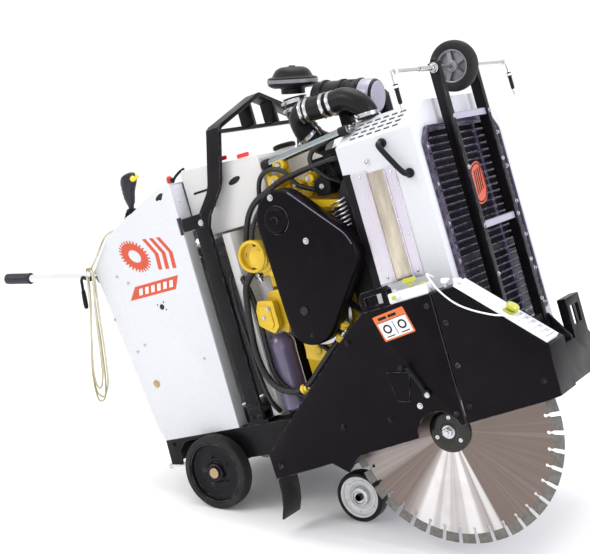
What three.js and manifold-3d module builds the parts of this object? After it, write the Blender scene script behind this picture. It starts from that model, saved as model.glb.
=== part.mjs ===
// Walk-behind concrete saw, millimetres, +Z up, +X towards the radiator end, the blade on the -Y side.
// Every piece is drawn in the machine's own level frame, whose X starts at the rear axle, and the
// whole machine is then tipped nose-up about the rear axle, because the lowered front axle holds the blade clear of the floor.
import * as THREE from "three";
import Module from "manifold-3d";
import { mergeVertices } from "three/addons/utils/BufferGeometryUtils.js";

// ---------------------------------------------------------------- sizes
const PITCH = 15.1; // degrees nose-up with the front axle lowered
const SHIFT = [-98.3, 36.2, 9.1]; // bounding box centred on the origin, wheels on Z = 0

const HALF = 300; // half the body width
const REAR_AXLE = [0, 117];
const REAR_R = 122;
const FRONT_AXLE = [453, -48.8];
const FRONT_R = 80;
const CARRIAGE_PIVOT = [640, 168];
const LIFT_ROOT = [216, 184]; // where the lift cylinder hangs from the deck
const LIFT_EYE = [500, -10]; // where its rod meets the carriage

const BLADE = { x: 903, y: -380, z: 145, r: 330, t: 4, segments: 39 };
const FLANGE_R = 62;
const GUARD_Y = [-440, -330];
const CRANK = [530, 530];
const FAN = [665, 700];
const PUMP = [508, 845];

const POINTER_PIVOT = [1034, 312];
const POINTER_TOP = 1140;

// ---------------------------------------------------------------- solids
const wasm = await Module();
wasm.setup();

function solid(geometry) {
  const g = geometry.index ? geometry.toNonIndexed() : geometry.clone();
  g.deleteAttribute("normal");
  g.deleteAttribute("uv");
  const merged = mergeVertices(g, 1e-3);
  const tri = new Uint32Array(merged.index.array);
  const make = () =>
    new wasm.Manifold(
      new wasm.Mesh({ numProp: 3, vertProperties: merged.attributes.position.array, triVerts: tri }),
    );
  const made = make();
  if (made.volume() >= 0) return made;
  for (let i = 0; i < tri.length; i += 3) [tri[i + 1], tri[i + 2]] = [tri[i + 2], tri[i + 1]];
  return make();
}

const join = (...parts) => parts.reduce((a, b) => a.add(b));
const cut = (a, ...parts) => parts.reduce((x, b) => x.subtract(b), a);

function box(x0, x1, y0, y1, z0, z1) {
  const g = new THREE.BoxGeometry(Math.abs(x1 - x0), Math.abs(y1 - y0), Math.abs(z1 - z0));
  g.translate((x0 + x1) / 2, (y0 + y1) / 2, (z0 + z1) / 2);
  return solid(g);
}

// A straight round bar from p to q; r1 is its radius at q.
function bar(p, q, r, r1 = r, sides = 16) {
  const a = new THREE.Vector3(...p), b = new THREE.Vector3(...q);
  const d = b.clone().sub(a);
  const g = new THREE.CylinderGeometry(r1, r, d.length(), sides, 1);
  g.applyQuaternion(new THREE.Quaternion().setFromUnitVectors(new THREE.Vector3(0, 1, 0), d.clone().normalize()));
  g.translate(...a.add(b).multiplyScalar(0.5).toArray());
  return solid(g);
}
const barY = (x, z, r, y0, y1, sides = 24) => bar([x, y0, z], [x, y1, z], r, r, sides);

// A turned shape about the Y axis at x, z: profile points are [radius, y], from axis to axis.
function turnY(x, z, profile, sides = 28) {
  const g = new THREE.LatheGeometry(profile.map(([r, y]) => new THREE.Vector2(Math.max(r, 0), y)), sides);
  g.translate(x, 0, z);
  return solid(g);
}
// The same about a vertical axis: profile points are [radius, z].
function turnZ(x, y, profile, sides = 28) {
  const g = new THREE.LatheGeometry(profile.map(([r, z]) => new THREE.Vector2(Math.max(r, 0), z)), sides);
  g.rotateX(Math.PI / 2);
  g.translate(x, y, 0);
  return solid(g);
}

function extruded(outline, holes, depth) {
  const shape = new THREE.Shape(outline.map(([a, b]) => new THREE.Vector2(a, b)));
  for (const h of holes) shape.holes.push(new THREE.Path(h.map(([a, b]) => new THREE.Vector2(a, b))));
  return new THREE.ExtrudeGeometry(shape, { depth, bevelEnabled: false, curveSegments: 12 });
}
// Plates from an outline in X and Z, in X and Y, and in Y and Z.
function plateY(outline, y0, y1, holes = []) {
  const g = extruded(outline, holes, y1 - y0);
  g.rotateX(Math.PI / 2);
  g.translate(0, y1, 0);
  return solid(g);
}
function plateZ(outline, z0, z1, holes = []) {
  const g = extruded(outline, holes, z1 - z0);
  g.translate(0, 0, z0);
  return solid(g);
}
function plateX(outline, x0, x1, holes = []) {
  const g = extruded(outline, holes, x1 - x0);
  g.applyMatrix4(new THREE.Matrix4().set(0, 0, 1, x0, 1, 0, 0, 0, 0, 1, 0, 0, 0, 0, 0, 1));
  return solid(g);
}

const ring = (cx, cz, r, n = 24, from = 0, to = 360) => {
  const full = to - from >= 360;
  const count = full ? n : n + 1;
  return Array.from({ length: count }, (_, i) => {
    const t = ((from + ((to - from) * i) / n) * Math.PI) / 180;
    return [cx + r * Math.cos(t), cz + r * Math.sin(t)];
  });
};

// A solid through matching cross-sections, each a list of the same number of points in space.
function skin(sections) {
  const n = sections[0].length;
  const p = [];
  const tri = (a, b, c) => p.push(...a, ...b, ...c);
  for (let s = 0; s + 1 < sections.length; s++)
    for (let i = 0; i < n; i++) {
      const [a, b, c, d] = [sections[s][i], sections[s][(i + 1) % n], sections[s + 1][(i + 1) % n], sections[s + 1][i]];
      tri(a, b, c);
      tri(a, c, d);
    }
  const first = sections[0], last = sections[sections.length - 1];
  for (let i = 1; i + 1 < n; i++) {
    tri(first[0], first[i + 1], first[i]);
    tri(last[0], last[i], last[i + 1]);
  }
  const g = new THREE.BufferGeometry();
  g.setAttribute("position", new THREE.Float32BufferAttribute(p, 3));
  return solid(g);
}

// A round hose or rod along a smooth line.
function hose(points, r, steps = 12, sides = 10, closed = false) {
  const curve = new THREE.CatmullRomCurve3(points.map((q) => new THREE.Vector3(...q)), closed, "centripetal");
  const shape = new THREE.Shape(ring(0, 0, r, sides).map(([a, b]) => new THREE.Vector2(a, b)));
  return solid(new THREE.ExtrudeGeometry(shape, { steps, extrudePath: curve, bevelEnabled: false, curveSegments: 1 }));
}

// The outline that a belt of offset k takes round three or two pulleys, counter-clockwise.
function beltLine(pulleys, k, n = 8) {
  const out = [];
  const m = pulleys.length;
  for (let i = 0; i < m; i++) {
    const [x, z, r] = pulleys[i];
    const [px, pz, pr] = pulleys[(i + m - 1) % m];
    const [qx, qz, qr] = pulleys[(i + 1) % m];
    const side = (ax, az, ar, bx, bz, br) => {
      const d = Math.hypot(bx - ax, bz - az);
      return Math.atan2(bz - az, bx - ax) - Math.PI / 2 + Math.asin((br - ar) / d) * -1;
    };
    const a0 = side(px, pz, pr, x, z, r);
    let a1 = side(x, z, r, qx, qz, qr);
    while (a1 < a0) a1 += 2 * Math.PI;
    for (let j = 0; j <= n; j++) {
      const t = a0 + ((a1 - a0) * j) / n;
      out.push([x + (r + k) * Math.cos(t), z + (r + k) * Math.sin(t)]);
    }
  }
  return out;
}

// ---------------------------------------------------------------- the machine
const root = new THREE.Group();
const machine = new THREE.Group();
machine.rotation.y = (-PITCH * Math.PI) / 180;
const machineOffset = new THREE.Vector3(...SHIFT);
machine.position.copy(machineOffset);
root.add(machine);

const COLOURS = {
  black: 0x1c1a1e, white: 0xeef0f2, yellow: 0xe0b72c, steel: 0x9c958e, chrome: 0xc9ced4,
  rubber: 0x161616, stainless: 0xc7c2cc, grey: 0x6c6a70, orange: 0xd8562f, rope: 0xd9d2b0,
};
// [roughness, metalness]
const FINISH = {
  black: [0.32, 0], white: [0.3, 0], yellow: [0.35, 0], steel: [0.4, 1], chrome: [0.12, 1],
  rubber: [0.8, 0], stainless: [0.25, 1], grey: [0.45, 0], orange: [0.4, 0], rope: [0.85, 0],
};
function add(name, colour, made) {
  const m = made.decompose().sort((a, b) => b.volume() - a.volume())[0].getMesh(); // the piece itself, without any sliver that a join leaves
  const v = new Float32Array(m.numVert * 3);
  for (let i = 0; i < m.numVert; i++) v.set(m.vertProperties.subarray(i * m.numProp, i * m.numProp + 3), i * 3);
  const g = new THREE.BufferGeometry();
  g.setAttribute("position", new THREE.BufferAttribute(v, 3));
  g.setIndex(new THREE.BufferAttribute(new Uint32Array(m.triVerts), 1));
  g.computeVertexNormals();
  const mesh = new THREE.Mesh(g, new THREE.MeshStandardMaterial({ color: COLOURS[colour], roughness: FINISH[colour][0], metalness: FINISH[colour][1], flatShading: true }));
  mesh.name = name;
  machine.add(mesh);
}
const mirrorY = (a) => a.mirror([0, 1, 0]);

// ---- chassis
{
  const sideOutline = [
    [-210, 156], [-166, 150], [-158, 200], [-140, 220], [-110, 228], [-30, 228], [-18, 214], [-10, 139],
    [862, 139], ...ring(BLADE.x, BLADE.z, 42, 8, 188, -8).slice(1, -1), [944, 139], [1092, 150], [1092, 240], [-208, 240],
  ];
  const side = plateY(sideOutline, -HALF, -292);
  const rail = box(-200, 1092, -210, -150, 202, 238);
  const hanger = plateY([[-60, 205], [-45, 90], [45, 90], [60, 205]], -256, -246, [ring(...REAR_AXLE, 14.5, 12)]);
  const hangerTie = box(-60, 60, -246.5, -205, 196, 206);
  const pivotLug = plateY([[600, 204], [612, 140], [668, 140], [680, 204]], -190, -180, [ring(...CARRIAGE_PIVOT, 12.5, 12)]);
  const half = join(side, rail, hanger, hangerTie, pivotLug);
  const deck = box(-208, 668, -298, 298, 232, 240);
  const rear = box(-208, -200, -299, 299, 158, 236);
  const crossFront = box(1050, 1092, -299, 299, 180, 236);
  const crossMid = box(560, 590, -205, 205, 204, 236);
  const cylinderLug = plateY([[190, 234], [196, 165], [236, 165], [242, 234]], -39, -31, [ring(216, 184, 10.5, 12)]);
  add("base_frame", "black", join(half, mirrorY(half), deck, rear, crossFront, crossMid, cylinderLug, mirrorY(cylinderLug)));
}
{
  const plate = plateX([[-HALF, 140], [-250, 128], [250, 128], [HALF, 140], [HALF, 236], [285, 250], [-285, 250], [-HALF, 236]], 1092.5, 1104);
  const lug = plateY([[998, 300], [1018, 344], [1050, 344], [1104, 262], [1104, 150], [1092.5, 150], [1092.5, 244], [1004, 270]], -150, -140, [ring(...POINTER_PIVOT, 10.5, 14)]);
  const tower = cut(box(1076, 1104, -286, -170, 244, 372), box(1070, 1098, -278, -178, 262, 360), box(1060, 1110, -262, -236, 285, 345), box(1060, 1110, -220, -194, 285, 345));
  const halfBumper = join(lug, tower);
  add("front_bumper", "black", join(plate, halfBumper, mirrorY(halfBumper)));
}
// rear axle and wheels turn together
add("rear_axle", "steel", join(barY(...REAR_AXLE, 12.5, -352, 352, 12), barY(...REAR_AXLE, 40, -60, 60, 16), barY(...REAR_AXLE, 17, -352, -346, 12), barY(...REAR_AXLE, 17, 346, 352, 12)));
function rearWheel(s) {
  const w = turnY(...REAR_AXLE, [
    [13, -302], [114, -302], [REAR_R, -311], [REAR_R, -341], [114, -350], [100, -350], [92, -334], [34, -331], [30, -345], [13, -345], [13, -302],
  ], 24);
  return s < 0 ? w : mirrorY(w);
}
add("rear_wheel_right", "rubber", rearWheel(-1));
add("rear_wheel_left", "rubber", rearWheel(1));

// front carriage: a swinging fork under the deck
{
  const arm = skin([
    [[CARRIAGE_PIVOT[0] + 20, -178, CARRIAGE_PIVOT[1] - 18], [CARRIAGE_PIVOT[0] + 20, -166, CARRIAGE_PIVOT[1] - 18], [CARRIAGE_PIVOT[0] + 14, -166, CARRIAGE_PIVOT[1] + 24], [CARRIAGE_PIVOT[0] + 14, -178, CARRIAGE_PIVOT[1] + 24]],
    [[FRONT_AXLE[0] - 10, -178, FRONT_AXLE[1] - 24], [FRONT_AXLE[0] - 10, -166, FRONT_AXLE[1] - 24], [FRONT_AXLE[0] - 22, -166, FRONT_AXLE[1] + 22], [FRONT_AXLE[0] - 22, -178, FRONT_AXLE[1] + 22]],
  ]);
  const pivotTube = barY(...CARRIAGE_PIVOT, 11.5, -194, 194, 12);
  const boss = barY(...CARRIAGE_PIVOT, 24, -179, -165, 12);
  const axle = barY(...FRONT_AXLE, 11, -256, -160, 12);
  const axleBoss = barY(...FRONT_AXLE, 20, -196, -160, 12);
  const horn = plateY([[528, 74], [568, 48], [516, -14], [501, -24], [487, -14], [487, 2]], -22, -14);
  const pinHead = barY(...LIFT_EYE, 11, -29, -21.5, 10);
  const tie = bar([548, -178, 60], [548, 178, 60], 17, 17, 10);
  const halfC = join(arm, boss, axleBoss, axle, horn, pinHead);
  add("front_carriage", "black", join(halfC, mirrorY(halfC), pivotTube, tie));
}
function frontWheel(s) {
  const w = turnY(...FRONT_AXLE, [
    [12, -205], [76, -205], [FRONT_R, -211], [FRONT_R, -245], [75, -251], [66, -250], [58, -234], [30, -230], [26, -250], [12, -250], [12, -205],
  ], 20);
  return s < 0 ? w : mirrorY(w);
}
add("front_wheel_right", "white", frontWheel(-1));
add("front_wheel_left", "white", frontWheel(1));
// lift cylinder between the deck and the carriage
{
  const A = LIFT_ROOT, B = LIFT_EYE;
  const L = Math.hypot(B[0] - A[0], B[1] - A[1]);
  const at = (d, y = 0) => [A[0] + ((B[0] - A[0]) * d) / L, y, A[1] + ((B[1] - A[1]) * d) / L];
  const barrel = cut(
    join(barY(...A, 20, -22, 22, 12), barY(...A, 10, -42, 42, 10), bar(at(12), at(186), 26, 26, 14), bar(at(183), at(195), 21, 21, 12)),
    bar(at(32.5), at(198), 10.4, 10.4, 10),
  );
  add("lift_cylinder", "black", barrel);
  add("lift_rod", "chrome", join(bar(at(163), at(L - 10), 9.3, 9.3, 10), barY(...B, 17, -13.2, 13.2, 14)));
}
// splash flap hanging behind the blade guard
add("splash_flap", "rubber", skin([
  [[318, -434, 88], [318, -340, 88], [310, -340, 88], [310, -434, 88]],
  [[315, -434, 40], [315, -340, 40], [307, -340, 40], [307, -434, 40]],
  [[306, -434, -2], [306, -340, -2], [298, -340, -1], [298, -434, -1]],
  [[290, -434, -38], [290, -340, -38], [283, -340, -36], [283, -434, -36]],
]));

// ---- lifting bail
{
  const q = (x, y, z, w = 52, t = 14) => [[x - w / 2, y, z], [x + w / 2, y, z], [x + w / 2, y + t, z], [x - w / 2, y + t, z]];
  const leg = skin([q(190, -HALF, 240.5), q(191, -HALF, 885), q(205, -298, 920), q(256, -279, 990), q(266, -275, 1014), q(310, -270, 1160), q(313, -268, 1176)]);
  const foot = box(150, 232, -299, -240, 240.5, 250);
  const tab = box(118, 200, -HALF, -292.5, 892, 935);
  const top = (y, z, x = 314) => [[x - 26, y, z - 7], [x + 26, y, z - 7], [x + 26, y, z + 7], [x - 26, y, z + 7]];
  const roof = skin([top(-268, 1169), top(-250, 1180), top(-12, 1262), top(0, 1265)]);
  const web = box(288, 340, -74, -62, 1166, 1240);
  const tie = box(300, 314, -262, 0.5, 1160, 1172);
  const halfBail = join(leg, foot, tab, roof, web, tie);
  add("lift_bail", "black", join(halfBail, mirrorY(halfBail)));
}

// ---- console
// a point d along the right handle's line, counted rearwards from the console's back edge
const HANDLE_RISE = (11.2 * Math.PI) / 180;
const onHandle = (d, y = -262, up = 0) => [-300 - Math.cos(HANDLE_RISE) * d, y, 828 + Math.sin(HANDLE_RISE) * d + up];
// a point on the dash, t of the way from its rear edge to its front edge, at height k above it
const DASH_SLOPE = Math.atan2(86, 235);
const onDash = (t, y, k = 0) => [-207 + 235 * t - Math.sin(DASH_SLOPE) * k, y, 954 + 86 * t + Math.cos(DASH_SLOPE) * k];
const PEG = [-312, 852]; // rope peg beside each handle
const STICK = { t: 0.447, y: -262 };
const STOP = { t: 0.34, y: 150 };
const THROTTLE = { t: 0.55, y: -60 };
const sideProfile = [
  [112, 240.6], [-207, 240.6], [-226, 285], [-304, 858], [-207, 954], [28, 1040], [106, 1056], [112, 1056],
];
{
  const panel = plateY(sideProfile, -HALF, -296, [ring(-60, 680, 10, 10), ring(60, 1022, 9, 8)]);
  const flange = join(box(108, 112, -296.5, -252, 240.6, 900), box(108, 112, -296.5, -236, 890, 1050));
  const lip = box(-205, 108, -296.5, -280, 240.6, 244);
  const socket = cut(
    join(bar(onHandle(-140), onHandle(18), 22, 22, 14), box(-240, -180, -296.5, -262, 808, 826), bar(onHandle(6, -262, 14), onHandle(6, -262, 32), 9, 9, 10),
      bar([PEG[0], -268, PEG[1]], [PEG[0], -327, PEG[1]], 6, 6, 8), bar([PEG[0], -323.4, PEG[1]], [PEG[0], -327, PEG[1]], 9, 9, 8)),
    bar(onHandle(-200), onHandle(480), 14.6, 14.6, 12),
  );
  const right = cut(join(panel, flange, lip, socket), box(100, 130, -310, -285, 885, 942));
  add("console_side_right", "white", right);
  add("console_side_left", "white", mirrorY(right));
  // the cover between the sides: operator's panel, dash and top, one folded sheet
  const inner = [[-196, 244.6], [-221, 288], [-298, 857], [-203, 949.6], [30, 1035], [106, 1051.6]];
  const outer = [[106, 1055.4], [28, 1039.4], [-206.6, 953.4], [-303, 858], [-225.4, 285], [-202, 244.6]];
  const slot = join(bar(onHandle(-160), onHandle(40), 23.5, 23.5, 14), box(-330, -280, -300, -250, 838, 880));
  const cover = cut(plateY([...inner, ...outer], -295.4, 295.4), slot, mirrorY(slot), bar(onDash(STOP.t, STOP.y, -12), onDash(STOP.t, STOP.y, 12), 10.5, 10.5, 12));
    const boot = bar(onDash(STICK.t, STICK.y, -1), onDash(STICK.t, STICK.y, 19), 29, 16, 16);
    const ear = (y) => bar(onDash(THROTTLE.t, y, -1), onDash(THROTTLE.t, y, 24), 8, 7, 4);
    add("console_cover", "white", join(cover, boot, ear(THROTTLE.y - 15), ear(THROTTLE.y + 15)));
}
// fuel tank between the console and the engine
add("fuel_tank", "white", join(
  plateY([[118, 860], [424, 860], [430, 868], [430, 1046], [420, 1058], [126, 1088], [118, 1080]], -238, 238),
  turnZ(300, 120, [[0, 1060], [34, 1060], [34, 1094], [0, 1098]], 14),
  box(118, 160, -200, -150, 846, 861), box(118, 160, 150, 200, 846, 861),
));

// ---- handles, levers and buttons on the console
function handle(s) {
  const p = onHandle;
  const tube = bar(p(-130), p(472), 14, 14, 12);
  const grip = bar(p(362), p(478), 19, 19, 14);
  const both = join(tube, grip);
  return s < 0 ? both : mirrorY(both);
}
add("handlebar_right", "chrome", handle(-1));
add("handlebar_left", "chrome", handle(1));
function clampLever(s) {
  const base = [-352, s * -1 * -1 * 0, 0];
  const y0 = 262;
  const lever = join(
    bar([-338, -y0 - 22.6, 836], [-338, -y0 - 34, 836], 9, 9, 14),
    bar([-338, -y0 - 33, 836], [-378, -y0 - 36, 846], 8, 7, 12),
    bar([-376, -y0 - 36, 852], [-392, -y0 - 36, 742], 8, 8, 12),
  );
  return s < 0 ? lever : mirrorY(lever);
}
add("clamp_lever_right", "black", clampLever(-1));
add("clamp_lever_left", "black", clampLever(1));
// speed joystick at the near edge of the dash, with a button at its top
{
  const foot = onDash(STICK.t, STICK.y, 29);
  const shaft = bar([foot[0] + 10, STICK.y, 1023], [-97, STICK.y, 1042], 8.5, 12, 12);
  // level sections from the bottom up: [height, centre X, half length along X]
  const grip = skin([[1034, -97, 14], [1052, -96, 19], [1078, -91, 24], [1096, -84, 31], [1112, -80, 34], [1126, -77, 28], [1135, -73, 15]].map(([z, x, rx]) =>
    ring(0, 0, 1, 12).map(([a, b]) => [x + rx * a, STICK.y + Math.min(rx, 25) * 0.85 * b, z])));
  const face = (d) => [-82 + 0.9487 * d, STICK.y, 1104 + 0.3162 * d];
  const pocket = bar(face(14), face(44), 10, 10, 12);
  add("joystick", "black", cut(join(shaft, grip), pocket));
  add("joystick_button", "yellow", bar(face(17.4), face(36), 8.6, 7.6, 12));
}
// emergency stop and throttle on the dash
{
  const on = (k) => onDash(STOP.t, STOP.y, k);
  add("stop_button", "orange", join(bar(on(-10), on(20), 9, 9, 12), bar(on(14), on(30), 20, 18, 16)));
  const th = (k, dx = 0) => { const q = onDash(THROTTLE.t, THROTTLE.y, k); return [q[0] + dx, q[1], q[2]]; };
  const hub = onDash(THROTTLE.t, THROTTLE.y, 14);
  add("throttle_lever", "black", join(bar([hub[0], THROTTLE.y - 7, hub[2]], [hub[0], THROTTLE.y + 7, hub[2]], 8, 8, 12), bar(th(14), th(84, 30), 4.5, 4.5, 8), bar(th(76, 27), th(102, 37), 10, 8, 12)));
}

// ---- engine
{
  const block = join(
    box(392, 700, -222, 222, 330, 772), box(420, 680, -150, 150, 262, 331), box(435, 465, -200, 200, 240.6, 263), box(622, 655, -200, 200, 240.6, 263),
    box(425, 475, -150, 150, 240.6, 300), box(615, 662, -150, 150, 240.6, 300),
    barY(365, 745, 44, -282, -150, 14), barY(365, 745, 30, -292, -280, 12), box(350, 400, -240, -150, 650, 745), box(344, 372, -262, -222, 690, 800),
    plateY([[330, 620], [352, 640], [396, 640], [396, 545], [378, 500], [340, 520], [326, 560]], -262, -252), box(360, 396, -254, -200, 560, 630),
    barY(...CRANK, 60, -236, -220, 14), barY(...FAN, 40, -261, -220, 12), barY(...PUMP, 34, -261, -240, 12), box(486, 530, -262, -200, 768, 812), box(480, 536, -262, -216, 806, 870),
  );
  add("engine_block", "yellow", block);
  const head = join(
    box(436, 690, -150, 180, 772.5, 872), box(450, 676, -120, 120, 871, 905),
    barY(470, 905, 26, -215, -119, 12), barY(540, 912, 24, -190, -100, 12), barY(598, 908, 24, -186, -100, 12),
    box(446, 474, -176, -148, 830, 1004), box(476, 690, -174, -148, 830, 852), bar([462, -165, 966], [560, -160, 905], 13, 13, 10),
  );
  add("cylinder_head", "yellow", head);
  add("muffler", "black", join(box(628, 730, -196, 150, 915, 1008), barY(686, 962, 22, 140, 262, 12)));
}
add("coolant_pipe", "chrome", join(bar([452, -250, 1017], [776, -250, 1043], 13, 13, 12), bar([446, -250, 1016.5], [480, -250, 1019], 17, 17, 12), bar([470, -250, 1018], [470, -178, 1015], 10, 10, 10), bar([768, -250, 1042], [768, -212, 1052], 11, 11, 10)));
// hydraulic tank and filter in the bay between the bail and the engine
{
  const tank = join(
    plateZ([[222, -240], [232, -262], [262, -262], [270, -240], [270, 120], [262, 140], [232, 140], [222, 120]], 252, 852),
    plateZ([[268, -200], [338, -226], [338, 60], [268, 60]], 500, 690),
    box(230, 262, -220, 100, 240.6, 253), barY(246, 780, 10, -262, -200, 10),
    turnZ(316, -232, [[0, 258], [36, 258], [42, 268], [42, 472], [34, 488], [20, 502], [0, 502]], 14),
    box(300, 330, -226, -190, 486, 510),
  );
  add("hydraulic_tank", "grey", tank);
}
// engine pulleys and belts, and their cover
add("crank_pulley", "steel", turnY(...CRANK, [
  [0, -236.6], [28, -236.6], [28, -255], [88, -255], [88, -258], [80, -260], [80, -284], [88, -286], [88, -290], [48, -304], [48, -321], [53, -324], [0, -327],
], 18));
const smallPulley = (c, y) => turnY(...c, [[0, -262], [14, -262], [14, -300], [49, -301], [44, -305], [44, -321], [49, -325], [0, -330]], 16);
add("fan_pulley", "steel", smallPulley(FAN));
add("pump_pulley", "steel", smallPulley(PUMP));
{
  const acc = [[...CRANK, 48], [...FAN, 44], [...PUMP, 44]];
  add("accessory_belt", "rubber", plateY(beltLine(acc, 12, 6), -319, -307, [beltLine(acc, 2, 6).reverse()]));
  const drive = [[...CRANK, 80], [BLADE.x, BLADE.z, 70]].reverse();
  add("blade_belt", "rubber", plateY(beltLine(drive, 13, 10), -283, -261, [beltLine(drive, 2.2, 10).reverse()]));
  const outline = [
    [433, 838], [438, 876], [454, 903], [480, 924], [510, 933], [542, 932], [571, 920], [726, 758],
    [741, 722], [745, 690], [739, 660], [590, 478], [566, 462], [536, 454], [500, 456], [468, 474], [448, 504],
  ];
  const shell = cut(
    plateY(outline, -350, -300),
    plateY(offsetOutline(outline, 5), -345, -290),
  );
  const boss = turnY(...PUMP, [[0, -362], [34, -362], [42, -356], [42, -349], [0, -349]], 18);
  const stay = (x, z, y1) => barY(x, z, 9, -346, y1, 10);
  add("belt_guard", "black", join(shell, boss, stay(452, 878, -330), stay(600, 745, -332)));
}
// moves each corner of a convex-ish outline inwards by k
function offsetOutline(pts, k) {
  const n = pts.length;
  let area = 0;
  for (let i = 0; i < n; i++) area += pts[i][0] * pts[(i + 1) % n][1] - pts[(i + 1) % n][0] * pts[i][1];
  const s = area > 0 ? 1 : -1;
  return pts.map((p, i) => {
    const a = pts[(i + n - 1) % n], b = pts[(i + 1) % n];
    const e1 = [p[0] - a[0], p[1] - a[1]], e2 = [b[0] - p[0], b[1] - p[1]];
    const l1 = Math.hypot(...e1), l2 = Math.hypot(...e2);
    const n1 = [(-e1[1] / l1) * s, (e1[0] / l1) * s], n2 = [(-e2[1] / l2) * s, (e2[0] / l2) * s];
    const m = [n1[0] + n2[0], n1[1] + n2[1]];
    const d = (m[0] * n1[0] + m[1] * n1[1]) || 1;
    return [p[0] + (m[0] * k) / d, p[1] + (m[1] * k) / d];
  });
}

// ---- air intake
const STACK = [500, -52];
const CANISTER = { from: [578, 1179], step: [0.9692, -0.2462] };
{
  const [x, y] = STACK;
  const cap = turnZ(0, 0, [[0, -20], [38, -20], [38, -2], [68, 1], [79, 9], [79, 31], [62, 37], [54, 54], [36, 64], [0, 66]], 20);
  add("precleaner", "black", cap.rotate([0, PITCH, 0]).translate([x + 6, y, 1240]));
  add("stack_pipe", "rubber", hose([[x + 1, y, 1206], [x, y, 1160], [x + 6, y + 2, 1110], [x + 30, y + 10, 1060], [x + 66, y + 20, 1030]], 38, 7, 12));
  // the canister lies along the machine, level with the floor, over the muffler
  const at = (d, y = STACK[1]) => [CANISTER.from[0] + CANISTER.step[0] * d, y, CANISTER.from[1] + CANISTER.step[1] * d];
  const k = (d0, d1, r, r1 = r) => bar(at(d0), at(d1), r, r1, 20);
  add("air_cleaner", "grey", join(k(0, 10, 46, 54), k(9, 214, 54), k(213, 222, 54, 46), k(34, 42, 58), k(98, 106, 58), k(160, 168, 58),
    box(650, 686, -70, -40, 1008.6, 1120), bar([716, -52, 1140], [716, 120, 1140], 22, 22, 12), bar([716, 118, 1146], [716, 118, 1014], 22, 22, 12)));
  add("intake_elbow", "rubber", hose([[566, -120, 1052], [556, -136, 1090], [562, -152, 1128], [594, -164, 1146], [646, -168, 1140], [698, -170, 1139], [745, -170, 1138], [778, -168, 1118], [795, -163, 1094], [799, -160, 1078], [799, -160, 1061.5]], 34, 16, 12));
}

// ---- radiator housing at the front
const HOOD = { x0: 742, x1: 997, z0: 241, z1: 995, top: 1060 };
{
  const outline = [[-HALF, HOOD.z0], [HALF, HOOD.z0], [HALF, HOOD.z1], [170, HOOD.top], [-170, HOOD.top], [-HALF, HOOD.z1]];
  const innerLine = [[-294, HOOD.z0 - 30], [294, HOOD.z0 - 30], [294, HOOD.z1 - 3], [168, HOOD.top - 6], [-168, HOOD.top - 6], [-294, HOOD.z1 - 3]];
  const shell = cut(plateX(outline, HOOD.x0, HOOD.x1), plateX(innerLine, HOOD.x0 - 5, HOOD.x1 + 5));
  const frontFrame = plateX(outline, 985, HOOD.x1, [[[-232, 592], [232, 592], [232, 938], [206, 968], [-206, 968], [-232, 938]], [[-232, 372], [232, 372], [232, 574], [-232, 574]]]);
  const post = (x, s) => box(x, x + 30, s < 0 ? -210 : 182, s < 0 ? -182 : 210, 238.6, 562);
  const sill = join(box(750, 876, -294.5, 294.5, 556, 566), box(960, 990, -294.5, 294.5, 574, 584));
  add("radiator_housing", "white", join(shell, frontFrame, sill, post(960, -1), post(960, 1), post(752, -1), post(752, 1)));
  add("radiator_core", "black", box(880, 956, -255, 255, 300, 975));
}
{
  // slotted guard over the radiator's front
  const outline = [[-266, 350], [266, 350], [266, 940], [250, 968], [222, 985], [-222, 985], [-250, 968], [-266, 940]];
  let plate = plateX(outline, 998.6, 1001.6);
  for (let i = 0; i < 17; i++) plate = plate.subtract(box(995, 1005, -236, 236, 368 + i * 35, 391 + i * 35));
  const rims = join(box(1001, 1008, -266, -256, 352, 940), box(1001, 1008, 256, 266, 352, 940), box(998.6, 1003, -90, -78, 354, 980), box(998.6, 1003, 78, 90, 354, 980));
  add("grille", "black", join(plate, rims));
}
add("side_panel", "stainless", join(box(767, 822, -303, -300.5, 580, 908), box(878, 914, -303, -300.5, 580, 890), box(821, 879, -302, -300.5, 580, 908), box(818, 826, -306, -300.5, 580, 908), box(874, 882, -306, -300.5, 580, 890)));
add("hood_handle", "black", join(hose([[896, -301.5, 970], [896, -325, 968], [902, -334, 950], [930, -338, 905], [948, -334, 876], [956, -325, 866], [956, -301.5, 868]], 9, 13, 8)));

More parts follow.
